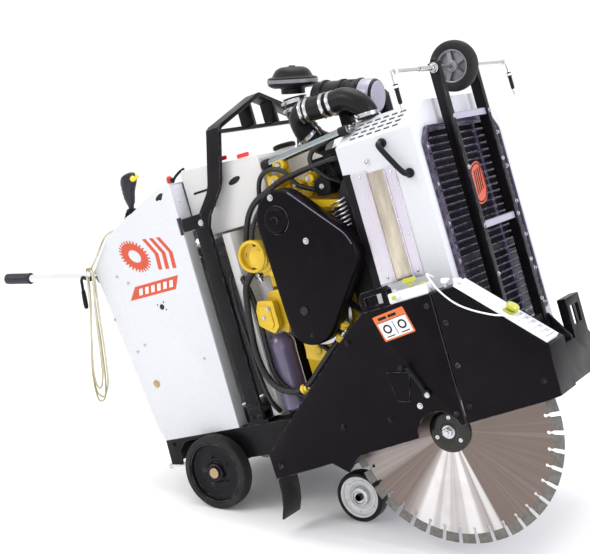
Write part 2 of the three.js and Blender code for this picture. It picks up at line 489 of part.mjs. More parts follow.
// ---- blade guard
const GUARD_REAR = [[311, 91], [308, 168], [416, 257], [471, 302], [690, 476], [761, 524], [988, 537], [988, 168], [626, 125], [575, 80], [525, 114], [383, 98]];
const GUARD_FRONT = [[992, 537], [1054, 540], [1281, 339], [1277, 203], [1241, 196], [992, 169]];
{
  const [y0, y1] = GUARD_Y;
  const cavity = [[564, 60], [564, 121], [527, 150], [474, 240], [476, 300], [692, 470], [763, 519], [1000, 532], [1000, 60]];
  const rearHollow = [[316, 99], [312.5, 166], [416, 250.5], [464, 290], [466, 236], [520, 150], [523, 119], [383, 103]];
  const notch = barY(BLADE.x, BLADE.z, 72, y0 - 5, y1 + 5, 20);
  const rear = cut(plateY(GUARD_REAR, y0, y1), plateY(cavity, y0 + 4, y1 - 4), plateY(rearHollow, y0 + 4, y1 + 5), notch);
  const spacer = (x, z) => join(barY(x, z, 16, y1 - 3, -300.5, 12));
  // the finger loop on the guard's top is welded on
  const loopFoot = plateY([[740, 500], [690, 471], [761, 519.6], [988, 532.6], [988, 500]], -450, -300);
  const fingerLoop = plateY([[752, 514], [752, 566], [764, 578], [836, 582], [846, 572], [846, 524.6]], -418, -388, [[[770, 534], [828, 537], [828, 566], [770, 562]]]).subtract(loopFoot);
  add("blade_guard", "black", join(rear, spacer(590, 230), spacer(760, 215), fingerLoop));
  const frontCavity = [[980, 532], [1052, 535], [1275, 337], [1272, 206], [1240, 150], [980, 100]];
  const front = cut(plateY(GUARD_FRONT, y0, y1), plateY(frontCavity, y0 + 4, y1 - 4));
  add("guard_front", "black", front);
  // water manifold on the guard's top, with its valve
  add("water_manifold", "white", join(
    plateY([[858, 530.4], [984, 537.5], [984, 566], [858, 560]], -436, -396), barY(886, 548, 9, -452, -430, 12),
    bar([988, -416, 552], [980, -416, 552], 8, 8, 10)));
  const slope = (t, k) => [1058 + (1279 - 1058) * t - 0 + k * 0.663, 541 + (341 - 541) * t + k * 0.749];
  const ch = plateY([slope(0.0, 0.7), slope(0.985, 0.7), slope(0.985, 13), slope(0.0, 13)], -438, -368);
  const slot = (y) => plateY([slope(0.62, 5), slope(0.94, 5), slope(0.94, 20), slope(0.62, 20)], y, y + 12);
  const yoke = plateY([slope(0.52, 12), slope(0.6, 12), slope(0.6, 30), slope(0.52, 30)], -426, -396);
  add("water_tube", "white", join(cut(ch, slot(-426), slot(-396)), yoke));
}
{
  // valve knob on the near end of the manifold, and the guard latch
  const knob = join(bar([925, -416, 566.5], [925, -416, 580], 7, 7, 12), box(905, 945, -424, -408, 576, 590));
  add("water_valve_knob", "yellow", knob.rotate([0, 0, 0]));
  const latch = join(barY(897, 270, 11, -452, -440.6, 16), plateY([[890, 262], [904, 268], [872, 352], [854, 356], [850, 346]], -452, -446), bar([866, -448, 345], [862, -470, 352], 7, 7, 10));
  add("guard_latch", "black", latch);
}

// ---- blade, flanges and shaft
{
  const { x, y, z, r, t, segments } = BLADE;
  const outline = [];
  const step = 360 / segments;
  const gullet = 1.75; // half width of a gullet, degrees
  for (let i = 0; i < segments; i++) {
    const c = i * step;
    for (const [da, rr] of [[gullet, 300], [gullet, r], [step - gullet, r], [step - gullet, 300]]) {
      const a = ((c + da) * Math.PI) / 180;
      outline.push([x + rr * Math.cos(a), z + rr * Math.sin(a)]);
    }
  }
  add("blade", "steel", plateY(outline, y - t / 2, y + t / 2, [ring(x, z, 13, 20)]));
  add("outer_flange", "black", turnY(x, z, [[13, y - 2.5], [62, y - 2.5], [62, y - 8], [54, y - 13], [13, y - 15], [13, y - 2.5]], 22));
  const hex = ring(x, z, 15, 6);
  add("arbor_bolt", "chrome", join(plateY(hex, y - 29, y - 19), barY(x, z, 19, y - 19.5, y - 15.5, 18), barY(x, z, 8, y - 16, y + 40, 12)));
  const shaft = cut(join(
    barY(x, z, 12.5, y - 14, y + 4, 16), barY(x, z, FLANGE_R, y + 2.5, y + 14, 18), barY(x, z, 19, y + 8, 386, 14),
    turnY(x, z, [[0, -287], [76, -287], [70, -284], [70, -260], [76, -257], [0, -257]], 18),
    barY(x, z, FLANGE_R, 366, 378, 16),
  ), barY(x, z, 8.4, y - 16, y + 44, 12));
  add("blade_shaft", "steel", shaft);
  const carrier = cut(join(
    barY(x, z, 36, -244, 244, 16), box(x - 44, x + 44, -208, -152, z + 20, 201.5), box(x - 44, x + 44, 152, 208, z + 20, 201.5), barY(x, z, 44, -246, -222, 16), barY(x, z, 44, 222, 246, 16),
  ), barY(x, z, 20, -260, 260, 14));
  add("shaft_carrier", "black", carrier);
}

// ---- front pointer
{
  const [px, pz] = POINTER_PIVOT;
  const rail = join(box(px - 16, px + 16, -135, -115, pz - 16, POINTER_TOP + 16), barY(px, pz, 10, -156, -114, 14));
  const cross = (z) => box(px - 12, px + 8, -116, 116, z, z + 20);
  add("pointer_frame", "black", cut(join(rail, mirrorY(rail), cross(982), cross(655), cross(330)), barY(px, POINTER_TOP, 5.8, -160, 160, 10)));
  const axleZ = POINTER_TOP;
  const spokes = [];
  for (let i = 0; i < 5; i++) {
    const a = (i * 72 * Math.PI) / 180;
    spokes.push(bar([px + 14 * Math.cos(a), 0, axleZ + 14 * Math.sin(a)], [px + 56 * Math.cos(a), 0, axleZ + 56 * Math.sin(a)], 6, 6, 6));
  }
  add("pointer_wheel", "rubber", join(
    turnY(px, axleZ, [[54, -17], [66, -19], [76, -10], [76, 10], [66, 19], [54, 17], [54, -17]], 22),
    turnY(px, axleZ, [[6, -24], [19, -24], [19, 24], [6, 24], [6, -24]], 12),
    ...spokes,
  ));
}
// the sliding rod that carries the two pointer tips is also the wheel's axle
{
  const [px] = POINTER_PIVOT;
  const z = POINTER_TOP;
  const tip = (s) => join(bar([px, s * 392, z], [px, s * 392, z - 92], 4, 4, 10), bar([px, s * 392, z - 40], [px, s * 392, z - 92], 8, 6, 12), bar([px, s * 392, z - 92], [px, s * 392, z - 112], 3.5, 2, 10));
  add("pointer_rod", "steel", join(bar([px, -392, z], [px, 392, z], 5, 5, 10), tip(-1), tip(1)));
}

// ---- pointer rope: it comes over the dash's rear edge and hangs from the peg by the handle in a hank
{
  const s = Math.sin((PITCH * Math.PI) / 180), c = Math.cos((PITCH * Math.PI) / 180);
  // u across and v straight down from the peg, as the machine stands
  const hang = (u, v) => [PEG[0] - v * s + u * c, PEG[1] - v * c - u * s];
  const outline = [[-16, 2], [-10, -12], [0, -16.5], [10, -12], [17, 2], [31, 150], [42, 300], [44, 390], [30, 436], [0, 452], [-30, 438], [-42, 392], [-38, 300], [-28, 150]];
  add("rope_hank", "rope", plateY(outline.map(([u, v]) => hang(u, v)), -322, -307.6, [ring(...PEG, 8, 10)]));
  add("rope_lead", "rope", hose([[-196, -284, 966], [-214, -292, 961], [-232, -306, 940], [-262, -314, 905], [-290, -314.5, 880], [-301, -314.8, 870.5]], 4, 12, 8));
}

export default root;
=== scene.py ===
# Walk-behind concrete saw: the looks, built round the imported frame.
import bpy, bmesh, math, random
import numpy as np
from mathutils import Vector, Matrix, geometry


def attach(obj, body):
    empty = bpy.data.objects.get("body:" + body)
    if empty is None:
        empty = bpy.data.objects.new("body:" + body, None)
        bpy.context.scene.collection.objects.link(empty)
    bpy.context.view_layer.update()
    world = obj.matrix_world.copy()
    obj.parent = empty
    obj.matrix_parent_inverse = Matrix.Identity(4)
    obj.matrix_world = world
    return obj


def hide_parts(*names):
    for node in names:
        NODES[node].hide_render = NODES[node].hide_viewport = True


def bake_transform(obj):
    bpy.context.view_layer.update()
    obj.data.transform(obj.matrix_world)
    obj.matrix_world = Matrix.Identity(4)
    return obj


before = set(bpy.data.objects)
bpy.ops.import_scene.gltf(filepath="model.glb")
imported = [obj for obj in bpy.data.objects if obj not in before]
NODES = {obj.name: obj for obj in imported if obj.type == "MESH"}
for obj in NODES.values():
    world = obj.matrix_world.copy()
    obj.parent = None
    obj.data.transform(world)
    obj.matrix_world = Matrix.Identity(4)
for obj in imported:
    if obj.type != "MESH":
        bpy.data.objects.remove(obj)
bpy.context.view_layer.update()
random.seed(7)

# ------------------------------------------------------------------ the machine's own frame
PITCH = math.radians(15.1)
SHIFT = Vector((-0.0983, 0.0362, 0.0091))
MR = Matrix.Translation(SHIFT) @ Matrix.Rotation(-PITCH, 4, "Y")  # machine metres to row metres


def W(p):
    return MR @ (Vector(p) * 0.001)


HALF = 300
REAR_AXLE, REAR_R = (0, 117), 122
FRONT_AXLE, FRONT_R = (453, -48.8), 80
BLADE = dict(x=903, y=-380, z=145, r=330, t=4, n=39)
CRANK, FAN, PUMP = (530, 530), (665, 700), (508, 845)
POINTER_PIVOT, POINTER_TOP = (1034, 312), 1140
STACK = (500, -52)
PEG = (-312, 852)

# ------------------------------------------------------------------ camera, at the photograph's viewing angle
F_PX, W_PX, H_PX = 1187.41744, 590, 554


def make_camera():
    az, el, roll, dist, tx, ty = 0.601839332, 0.0346080556, -0.278106868, 3.31284233, 450.888942, 430.258486
    back = Vector((math.sin(az) * math.cos(el), -math.cos(az) * math.cos(el), math.sin(el)))
    right = Vector((math.cos(az), math.sin(az), 0))
    up = back.cross(right)
    r2 = math.cos(roll) * right + math.sin(roll) * up
    u2 = -math.sin(roll) * right + math.cos(roll) * up
    c = -((tx - W_PX / 2) / F_PX * dist * r2 - (ty - H_PX / 2) / F_PX * dist * u2 - dist * back) + Vector((0.903, -0.380, 0.145))
    m = Matrix.Identity(4)
    for i in range(3):
        m[i][0], m[i][1], m[i][2], m[i][3] = r2[i], u2[i], back[i], c[i]
    data = bpy.data.cameras.new("camera")
    data.sensor_fit = "HORIZONTAL"
    data.sensor_width = 36
    data.lens = F_PX * 36 / W_PX
    data.clip_end = 100
    cam = bpy.data.objects.new("camera", data)
    bpy.context.scene.collection.objects.link(cam)
    cam.matrix_world = MR @ m
    bpy.context.scene.camera = cam


make_camera()

# ------------------------------------------------------------------ materials


def nd(t, kind, **kw):
    n = t.nodes.new(kind)
    for k, v in kw.items():
        setattr(n, k, v)
    return n


def material(name, col, rough=0.5, metal=0.0, coat=0.0, coat_rough=0.12, vary=0.05, scale=5.0, bump=0.02, bscale=350.0,
             rvary=0.06, dirt=0.0, dirt_col=(0.35, 0.32, 0.28), wear=0.0, wear_col=(0.3, 0.28, 0.28), aniso=0.0, aniso_rot=0.0,
             radial=None, streak=None, spec=0.5, bdist=0.0006, sheen=0.0, top_dust=0.0, transmission=0.0, ior=1.45, bstyle="noise"):
    m = bpy.data.materials.new(name)
    m.use_nodes = True
    t = m.node_tree
    t.nodes.clear()
    out = nd(t, "ShaderNodeOutputMaterial")
    b = nd(t, "ShaderNodeBsdfPrincipled")
    L = t.links.new
    L(b.outputs[0], out.inputs[0])
    tc = nd(t, "ShaderNodeTexCoord")
    src = tc.outputs["Object"]
    # slow colour variation
    n1 = nd(t, "ShaderNodeTexNoise"); n1.inputs["Scale"].default_value = scale; n1.inputs["Detail"].default_value = 6; n1.inputs["Roughness"].default_value = 0.65
    if streak:
        mp = nd(t, "ShaderNodeMapping"); mp.inputs["Scale"].default_value = streak; L(src, mp.inputs[0]); L(mp.outputs[0], n1.inputs["Vector"])
    else:
        L(src, n1.inputs["Vector"])
    mix = nd(t, "ShaderNodeMix", data_type="RGBA")
    lo = tuple(max(0, c * (1 - vary)) for c in col) + (1,)
    hi = tuple(min(1, c * (1 + vary)) for c in col) + (1,)
    mr = nd(t, "ShaderNodeMapRange"); mr.inputs[1].default_value = 0.3; mr.inputs[2].default_value = 0.7
    L(n1.outputs["Fac"], mr.inputs[0]); L(mr.outputs[0], mix.inputs["Factor"])
    mix.inputs["A"].default_value = lo; mix.inputs["B"].default_value = hi
    colour = mix.outputs["Result"]
    # roughness variation
    n2 = nd(t, "ShaderNodeTexNoise"); n2.inputs["Scale"].default_value = scale * 4.3; n2.inputs["Detail"].default_value = 8
    if streak:
        L(mp.outputs[0], n2.inputs["Vector"])
    else:
        L(src, n2.inputs["Vector"])
    rr = nd(t, "ShaderNodeMapRange"); rr.inputs[1].default_value = 0.3; rr.inputs[2].default_value = 0.7
    rr.inputs[3].default_value = max(0.02, rough - rvary); rr.inputs[4].default_value = min(1, rough + rvary)
    L(n2.outputs["Fac"], rr.inputs[0])
    rough_out = rr.outputs[0]
    if dirt > 0 or top_dust > 0:
        n4 = nd(t, "ShaderNodeTexNoise"); n4.inputs["Scale"].default_value = 11; n4.inputs["Detail"].default_value = 12; n4.inputs["Roughness"].default_value = 0.72
        L(src, n4.inputs["Vector"])
        ramp = nd(t, "ShaderNodeMapRange"); ramp.inputs[1].default_value = 0.48; ramp.inputs[2].default_value = 0.78
        ramp.inputs[4].default_value = dirt
        L(n4.outputs["Fac"], ramp.inputs[0])
        fac = ramp.outputs[0]
        if top_dust > 0:
            g = nd(t, "ShaderNodeNewGeometry"); sep = nd(t, "ShaderNodeSeparateXYZ"); L(g.outputs["Normal"], sep.inputs[0])
            up = nd(t, "ShaderNodeMapRange"); up.inputs[1].default_value = 0.55; up.inputs[2].default_value = 1.0; up.inputs[4].default_value = top_dust
            L(sep.outputs["Z"], up.inputs[0])
            mul = nd(t, "ShaderNodeMath", operation="MULTIPLY"); L(up.outputs[0], mul.inputs[0]); L(n4.outputs["Fac"], mul.inputs[1])
            add = nd(t, "ShaderNodeMath", operation="ADD", use_clamp=True); L(mul.outputs[0], add.inputs[0]); L(fac, add.inputs[1]); fac = add.outputs[0]
        mix2 = nd(t, "ShaderNodeMix", data_type="RGBA"); L(fac, mix2.inputs["Factor"]); L(colour, mix2.inputs["A"]); mix2.inputs["B"].default_value = (*dirt_col, 1)
        colour = mix2.outputs["Result"]
        m3 = nd(t, "ShaderNodeMix", data_type="FLOAT"); L(fac, m3.inputs["Factor"]); L(rough_out, m3.inputs["A"]); m3.inputs["B"].default_value = 0.85
        rough_out = m3.outputs["Result"]
    if wear > 0:
        bv = nd(t, "ShaderNodeBevel", samples=4); bv.inputs["Radius"].default_value = 0.0022
        g2 = nd(t, "ShaderNodeNewGeometry")
        dot = nd(t, "ShaderNodeVectorMath", operation="DOT_PRODUCT"); L(bv.outputs[0], dot.inputs[0]); L(g2.outputs["Normal"], dot.inputs[1])
        e = nd(t, "ShaderNodeMapRange"); e.inputs[1].default_value = 0.995; e.inputs[2].default_value = 0.86; e.inputs[3].default_value = 0; e.inputs[4].default_value = 1
        L(dot.outputs["Value"], e.inputs[0])
        n5 = nd(t, "ShaderNodeTexNoise"); n5.inputs["Scale"].default_value = 45; n5.inputs["Detail"].default_value = 8; L(src, n5.inputs["Vector"])
        w = nd(t, "ShaderNodeMapRange"); w.inputs[1].default_value = 0.42; w.inputs[2].default_value = 0.62; w.inputs[4].default_value = wear; L(n5.outputs["Fac"], w.inputs[0])
        mu = nd(t, "ShaderNodeMath", operation="MULTIPLY", use_clamp=True); L(e.outputs[0], mu.inputs[0]); L(w.outputs[0], mu.inputs[1])
        mix3 = nd(t, "ShaderNodeMix", data_type="RGBA"); L(mu.outputs[0], mix3.inputs["Factor"]); L(colour, mix3.inputs["A"]); mix3.inputs["B"].default_value = (*wear_col, 1)
        colour = mix3.outputs["Result"]
    L(colour, b.inputs["Base Color"]); L(rough_out, b.inputs["Roughness"])
    b.inputs["Metallic"].default_value = metal
    b.inputs["Coat Weight"].default_value = coat; b.inputs["Coat Roughness"].default_value = coat_rough
    b.inputs["Specular IOR Level"].default_value = spec
    b.inputs["Anisotropic"].default_value = aniso; b.inputs["Anisotropic Rotation"].default_value = aniso_rot
    b.inputs["Sheen Weight"].default_value = sheen
    b.inputs["Transmission Weight"].default_value = transmission; b.inputs["IOR"].default_value = ior
    if radial:
        tg = nd(t, "ShaderNodeTangent", direction_type="RADIAL", axis=radial); L(tg.outputs[0], b.inputs["Tangent"])
    if bump > 0:
        if bstyle == "wave":
            n3 = nd(t, "ShaderNodeTexWave", wave_type="BANDS", bands_direction="DIAGONAL"); n3.inputs["Scale"].default_value = bscale; n3.inputs["Distortion"].default_value = 1.5
            L(src, n3.inputs["Vector"]); h = n3.outputs["Fac"]
        elif bstyle == "voronoi":
            n3 = nd(t, "ShaderNodeTexVoronoi"); n3.inputs["Scale"].default_value = bscale; L(src, n3.inputs["Vector"]); h = n3.outputs["Distance"]
        else:
            n3 = nd(t, "ShaderNodeTexNoise"); n3.inputs["Scale"].default_value = bscale; n3.inputs["Detail"].default_value = 3
            if streak:
                mp2 = nd(t, "ShaderNodeMapping"); mp2.inputs["Scale"].default_value = streak; L(src, mp2.inputs[0]); L(mp2.outputs[0], n3.inputs["Vector"])
            else:
                L(src, n3.inputs["Vector"])
            h = n3.outputs["Fac"]
        bp = nd(t, "ShaderNodeBump"); bp.inputs["Strength"].default_value = bump; bp.inputs["Distance"].default_value = bdist
        L(h, bp.inputs["Height"]); L(bp.outputs[0], b.inputs["Normal"])
    return m


K = dict(
    frame=material("frame_black", (0.0055, 0.0044, 0.0058), 0.34, coat=0.02, coat_rough=0.22, spec=0.17, vary=0.25, bump=0.25, bscale=900, wear=0.8, wear_col=(0.26, 0.23, 0.28), dirt=0.10, dirt_col=(0.06, 0.052, 0.05), top_dust=0.07),
    guard=material("guard_black", (0.0034, 0.0021, 0.0035), 0.33, coat=0.0, coat_rough=0.2, spec=0.10, vary=0.3, scale=3, bump=0.25, bscale=1100, wear=0.9, wear_col=(0.32, 0.28, 0.36), dirt=0.07, dirt_col=(0.05, 0.04, 0.04), top_dust=0.05),
    grille=material("grille_violet", (0.030, 0.022, 0.048), 0.3, coat=0.12, spec=0.45, vary=0.15, bump=0.12, bscale=900, wear=0.8, wear_col=(0.55, 0.5, 0.68), dirt=0.08, dirt_col=(0.25, 0.22, 0.25)),
    white=material("panel_white", (0.60, 0.615, 0.645), 0.28, coat=0.2, coat_rough=0.08, vary=0.018, scale=2.5, bump=0.10, bscale=700, dirt=0.05, dirt_col=(0.55, 0.53, 0.5), top_dust=0.03),
    # painted shade: a darker grey copy of the white panel, for the console's shadowed front flange
    flange=material("flange_painted_shade_grey", (0.47, 0.485, 0.49), 0.34, coat=0.3, vary=0.05, bump=0.10, bscale=700, dirt=0.12, dirt_col=(0.3, 0.29, 0.27)),
    tank=material("tank_white", (0.60, 0.595, 0.59), 0.42, vary=0.03, scale=3, bump=0.12, bscale=420, dirt=0.10, dirt_col=(0.5, 0.46, 0.40)),
    tank_grey=material("tank_grey", (0.45, 0.44, 0.50), 0.28, coat=0.4, vary=0.12, scale=4, bump=0.05, bscale=300, dirt=0.2, dirt_col=(0.16, 0.14, 0.14)),
    yellow=material("engine_yellow", (0.66, 0.44, 0.012), 0.36, coat=0.25, vary=0.14, scale=9, bump=0.45, bscale=260, bdist=0.0009, dirt=0.34, dirt_col=(0.12, 0.08, 0.03), wear=0.5, wear_col=(0.30, 0.2, 0.06), top_dust=0.1),
    yellow_clean=material("knob_yellow", (0.85, 0.60, 0.03), 0.28, coat=0.4, vary=0.05, bump=0.05, bscale=500),
    lime=material("knob_lime", (0.44, 0.44, 0.025), 0.26, coat=0.5, vary=0.06, bump=0.05, bscale=500),
    gold=material("zinc_gold", (0.72, 0.55, 0.28), 0.28, metal=1, vary=0.12, scale=30, bump=0.08, bscale=900, dirt=0.12, dirt_col=(0.2, 0.15, 0.1)),
    chrome=material("chrome", (0.86, 0.87, 0.89), 0.07, metal=1, vary=0.03, rvary=0.03, bump=0.02, bscale=500, dirt=0.05, dirt_col=(0.4, 0.4, 0.4)),
    zinc=material("zinc_bolt", (0.55, 0.55, 0.57), 0.26, metal=1, vary=0.08, scale=40, bump=0.08, bscale=1200),
    steel=material("machined_steel", (0.46, 0.45, 0.46), 0.30, metal=1, vary=0.12, scale=14, bump=0.08, bscale=900, dirt=0.2, dirt_col=(0.10, 0.08, 0.07), radial="Y", aniso=0.5),
    stainless=material("brushed_stainless", (0.64, 0.605, 0.68), 0.27, metal=1, vary=0.05, scale=4, streak=(6, 1, 0.7), bump=0.03, bscale=90, rvary=0.06, aniso=0.4),
    segment=material("diamond_segment", (0.17, 0.165, 0.15), 0.55, metal=0.75, vary=0.3, scale=60, bump=0.9, bscale=1400, bdist=0.0008, dirt=0.3, dirt_col=(0.10, 0.09, 0.08)),
    flangeblk=material("flange_black", (0.008, 0.0075, 0.006), 0.22, coat=0.12, coat_rough=0.1, spec=0.35, vary=0.2, scale=12, bump=0.08, bscale=800, wear=0.7, wear_col=(0.3, 0.3, 0.28), dirt=0.12, dirt_col=(0.10, 0.10, 0.07)),
    rubber=material("black_rubber", (0.005, 0.0045, 0.0055), 0.36, spec=0.25, vary=0.2, scale=7, bump=0.35, bscale=500, sheen=0.04, dirt=0.14, dirt_col=(0.07, 0.065, 0.06), top_dust=0.10),
    hose=material("hose_rubber", (0.009, 0.009, 0.011), 0.28, coat=0.08, spec=0.4, vary=0.2, scale=12, bump=0.55, bscale=1500, bdist=0.0004, bstyle="voronoi"),
    tyre=material("tyre_rubber", (0.011, 0.0105, 0.0105), 0.58, spec=0.3, vary=0.25, scale=14, bump=0.6, bscale=420, bdist=0.0009, dirt=0.35, dirt_col=(0.085, 0.075, 0.065)),
    plastic=material("black_plastic", (0.006, 0.006, 0.0075), 0.33, spec=0.22, vary=0.15, scale=9, bump=0.45, bscale=1600, bdist=0.0004, bstyle="voronoi", top_dust=0.06),
    grip=material("grip_violet_black", (0.014, 0.011, 0.022), 0.31, coat=0.08, spec=0.4, vary=0.15, scale=9, bump=0.35, bscale=1400, bdist=0.0004, bstyle="voronoi"),
    silver=material("wheel_silver", (0.62, 0.63, 0.65), 0.30, metal=0.9, vary=0.10, scale=16, bump=0.2, bscale=400, dirt=0.22, dirt_col=(0.16, 0.15, 0.14), radial="Y", aniso=0.4),
    wheelwhite=material("wheel_paint", (0.72, 0.73, 0.73), 0.34, coat=0.3, vary=0.08, scale=14, bump=0.2, bscale=350, dirt=0.3, dirt_col=(0.3, 0.28, 0.25)),
    greyring=material("wheel_grey", (0.20, 0.20, 0.22), 0.36, metal=0.4, coat=0.2, vary=0.12, scale=14, bump=0.2, bscale=400, dirt=0.15, dirt_col=(0.1, 0.1, 0.1)),
    canister=material("canister_grey", (0.34, 0.32, 0.41), 0.26, coat=0.3, vary=0.08, scale=5, bump=0.05, bscale=500, dirt=0.08, dirt_col=(0.3, 0.3, 0.3)),
    clear=material("bowl_clear", (0.80, 0.82, 0.86), 0.10, vary=0.03, bump=0.03, bscale=120, transmission=0.75, coat=0.5),
    fins=material("radiator_fins", (0.010, 0.009, 0.013), 0.5, metal=0.2, vary=0.2, scale=30, bump=1.0, bscale=260, bdist=0.002, bstyle="wave"),
    orange=material("decal_orange", (0.55, 0.062, 0.018), 0.30, coat=0.4, vary=0.05, bump=0.03, bscale=300),
    red=material("knob_red", (0.62, 0.018, 0.012), 0.28, coat=0.5, vary=0.06, bump=0.04, bscale=500),
    decalwhite=material("decal_white", (0.70, 0.715, 0.73), 0.30, coat=0.3, vary=0.02, bump=0.02, bscale=300),
    decalblue=material("decal_grey", (0.16, 0.20, 0.27), 0.34, vary=0.05, bump=0.02, bscale=300),
    labelorange=material("label_orange", (0.62, 0.13, 0.015), 0.30, coat=0.4, vary=0.05, bump=0.02, bscale=300),
    cable=material("cable_white", (0.80, 0.81, 0.80), 0.34, vary=0.06, bump=0.1, bscale=600),
    dark=material("deep_shadow_black", (0.006, 0.0055, 0.007), 0.6, vary=0.3, bump=0.2, bscale=200),
    amber=material("plug_bronze", (0.42, 0.30, 0.15), 0.35, metal=0.8, vary=0.2, scale=40, bump=0.15, bscale=700),
)


def rope_material():
    m = bpy.data.materials.new("braided_rope")
    m.use_nodes = True
    t = m.node_tree
    b = t.nodes["Principled BSDF"]
    L = t.links.new
    uv = nd(t, "ShaderNodeTexCoord")
    mp = nd(t, "ShaderNodeMapping"); mp.inputs["Scale"].default_value = (1, 1, 1)
    L(uv.outputs["UV"], mp.inputs[0])
    w1 = nd(t, "ShaderNodeTexWave", wave_type="BANDS", bands_direction="DIAGONAL"); w1.inputs["Scale"].default_value = 1.0; w1.inputs["Distortion"].default_value = 0.4
    L(mp.outputs[0], w1.inputs["Vector"])
    n = nd(t, "ShaderNodeTexNoise"); n.inputs["Scale"].default_value = 30; n.inputs["Detail"].default_value = 6; L(uv.outputs["Object"], n.inputs["Vector"])
    mix = nd(t, "ShaderNodeMix", data_type="RGBA"); L(w1.outputs["Fac"], mix.inputs["Factor"])
    mix.inputs["A"].default_value = (0.42, 0.36, 0.17, 1); mix.inputs["B"].default_value = (0.82, 0.78, 0.60, 1)
    mix2 = nd(t, "ShaderNodeMix", data_type="RGBA", blend_type="MULTIPLY"); mix2.inputs["Factor"].default_value = 0.5
    L(mix.outputs["Result"], mix2.inputs["A"]); L(n.outputs["Fac"], mix2.inputs["B"])
    L(mix2.outputs["Result"], b.inputs["Base Color"])
    b.inputs["Roughness"].default_value = 0.8; b.inputs["Sheen Weight"].default_value = 0.4
    bp = nd(t, "ShaderNodeBump"); bp.inputs["Strength"].default_value = 0.9; bp.inputs["Distance"].default_value = 0.0012
    L(w1.outputs["Fac"], bp.inputs["Height"]); L(bp.outputs[0], b.inputs["Normal"])
    return m


K["rope"] = rope_material()


def blade_material():
    """Radially brushed steel with painted highlights: broad fan-shaped lobes and fine spokes of lighter colour at
    fixed angles about the arbor stand in for its reflections.
    """
    m = bpy.data.materials.new("blade_steel")
    m.use_nodes = True
    t = m.node_tree
    b = t.nodes["Principled BSDF"]
    L = t.links.new
    tc = nd(t, "ShaderNodeTexCoord"); sep = nd(t, "ShaderNodeSeparateXYZ"); L(tc.outputs["Object"], sep.inputs[0])
    ang = nd(t, "ShaderNodeMath", operation="ARCTAN2"); L(sep.outputs["Z"], ang.inputs[0]); L(sep.outputs["X"], ang.inputs[1])
    col = None
    fan_highlights = None
    # painted highlights: bright lobes of base colour at fixed angles about the arbor
    for centre, width, gain in ((-1.86, 0.62, 0.62), (-2.14, 0.15, 1.0), (-1.93, 0.10, 0.9), (-1.60, 0.13, 1.0), (-1.36, 0.07, 0.8), (1.28, 0.6, 0.5), (-2.9, 0.2, 0.2)):
        sub = nd(t, "ShaderNodeMath", operation="SUBTRACT"); L(ang.outputs[0], sub.inputs[0]); sub.inputs[1].default_value = centre
        co = nd(t, "ShaderNodeMath", operation="COSINE"); L(sub.outputs[0], co.inputs[0])
        mr = nd(t, "ShaderNodeMapRange", interpolation_type="SMOOTHERSTEP"); mr.inputs[1].default_value = math.cos(width); mr.inputs[2].default_value = 1.0; mr.inputs[4].default_value = gain
        L(co.outputs[0], mr.inputs[0])
        if fan_highlights is None:
            fan_highlights = mr.outputs[0]
        else:
            mx = nd(t, "ShaderNodeMath", operation="MAXIMUM"); L(fan_highlights, mx.inputs[0]); L(mr.outputs[0], mx.inputs[1]); fan_highlights = mx.outputs[0]
    sn = nd(t, "ShaderNodeMath", operation="SINE"); L(ang.outputs[0], sn.inputs[0])
    cs = nd(t, "ShaderNodeMath", operation="COSINE"); L(ang.outputs[0], cs.inputs[0])
    cmb = nd(t, "ShaderNodeCombineXYZ"); L(cs.outputs[0], cmb.inputs[0]); L(sn.outputs[0], cmb.inputs[1])
    n1 = nd(t, "ShaderNodeTexNoise"); n1.inputs["Scale"].default_value = 26; n1.inputs["Detail"].default_value = 7; L(cmb.outputs[0], n1.inputs["Vector"])
    n2 = nd(t, "ShaderNodeTexNoise"); n2.inputs["Scale"].default_value = 9; n2.inputs["Detail"].default_value = 5; L(tc.outputs["Object"], n2.inputs["Vector"])
    fine = nd(t, "ShaderNodeMapRange"); fine.inputs[1].default_value = 0.3; fine.inputs[2].default_value = 0.7; fine.inputs[3].default_value = -0.06; fine.inputs[4].default_value = 0.08
    L(n1.outputs["Fac"], fine.inputs[0])
    add = nd(t, "ShaderNodeMath", operation="ADD", use_clamp=True); L(fan_highlights, add.inputs[0]); L(fine.outputs[0], add.inputs[1])
    # colour B, where the lobes are, is the painted highlight; A is the blade's own warm brown-grey
    mix = nd(t, "ShaderNodeMix", data_type="RGBA"); L(add.outputs[0], mix.inputs["Factor"])
    mix.inputs["A"].default_value = (0.165, 0.130, 0.113, 1); mix.inputs["B"].default_value = (0.70, 0.68, 0.67, 1)
    stain = nd(t, "ShaderNodeMapRange"); stain.inputs[1].default_value = 0.5; stain.inputs[2].default_value = 0.8; stain.inputs[4].default_value = 0.35; L(n2.outputs["Fac"], stain.inputs[0])
    mix2 = nd(t, "ShaderNodeMix", data_type="RGBA"); L(stain.outputs[0], mix2.inputs["Factor"]); L(mix.outputs["Result"], mix2.inputs["A"]); mix2.inputs["B"].default_value = (0.20, 0.155, 0.13, 1)
    L(mix2.outputs["Result"], b.inputs["Base Color"])
    rr = nd(t, "ShaderNodeMapRange"); rr.inputs[3].default_value = 0.24; rr.inputs[4].default_value = 0.36; L(n1.outputs["Fac"], rr.inputs[0]); L(rr.outputs[0], b.inputs["Roughness"])
    b.inputs["Metallic"].default_value = 0.9
    b.inputs["Anisotropic"].default_value = 0.8
    tg = nd(t, "ShaderNodeTangent", direction_type="RADIAL", axis="Y"); L(tg.outputs[0], b.inputs["Tangent"])
    bp = nd(t, "ShaderNodeBump"); bp.inputs["Strength"].default_value = 0.05; bp.inputs["Distance"].default_value = 0.0004
    L(n1.outputs["Fac"], bp.inputs["Height"]); L(bp.outputs[0], b.inputs["Normal"])
    return m


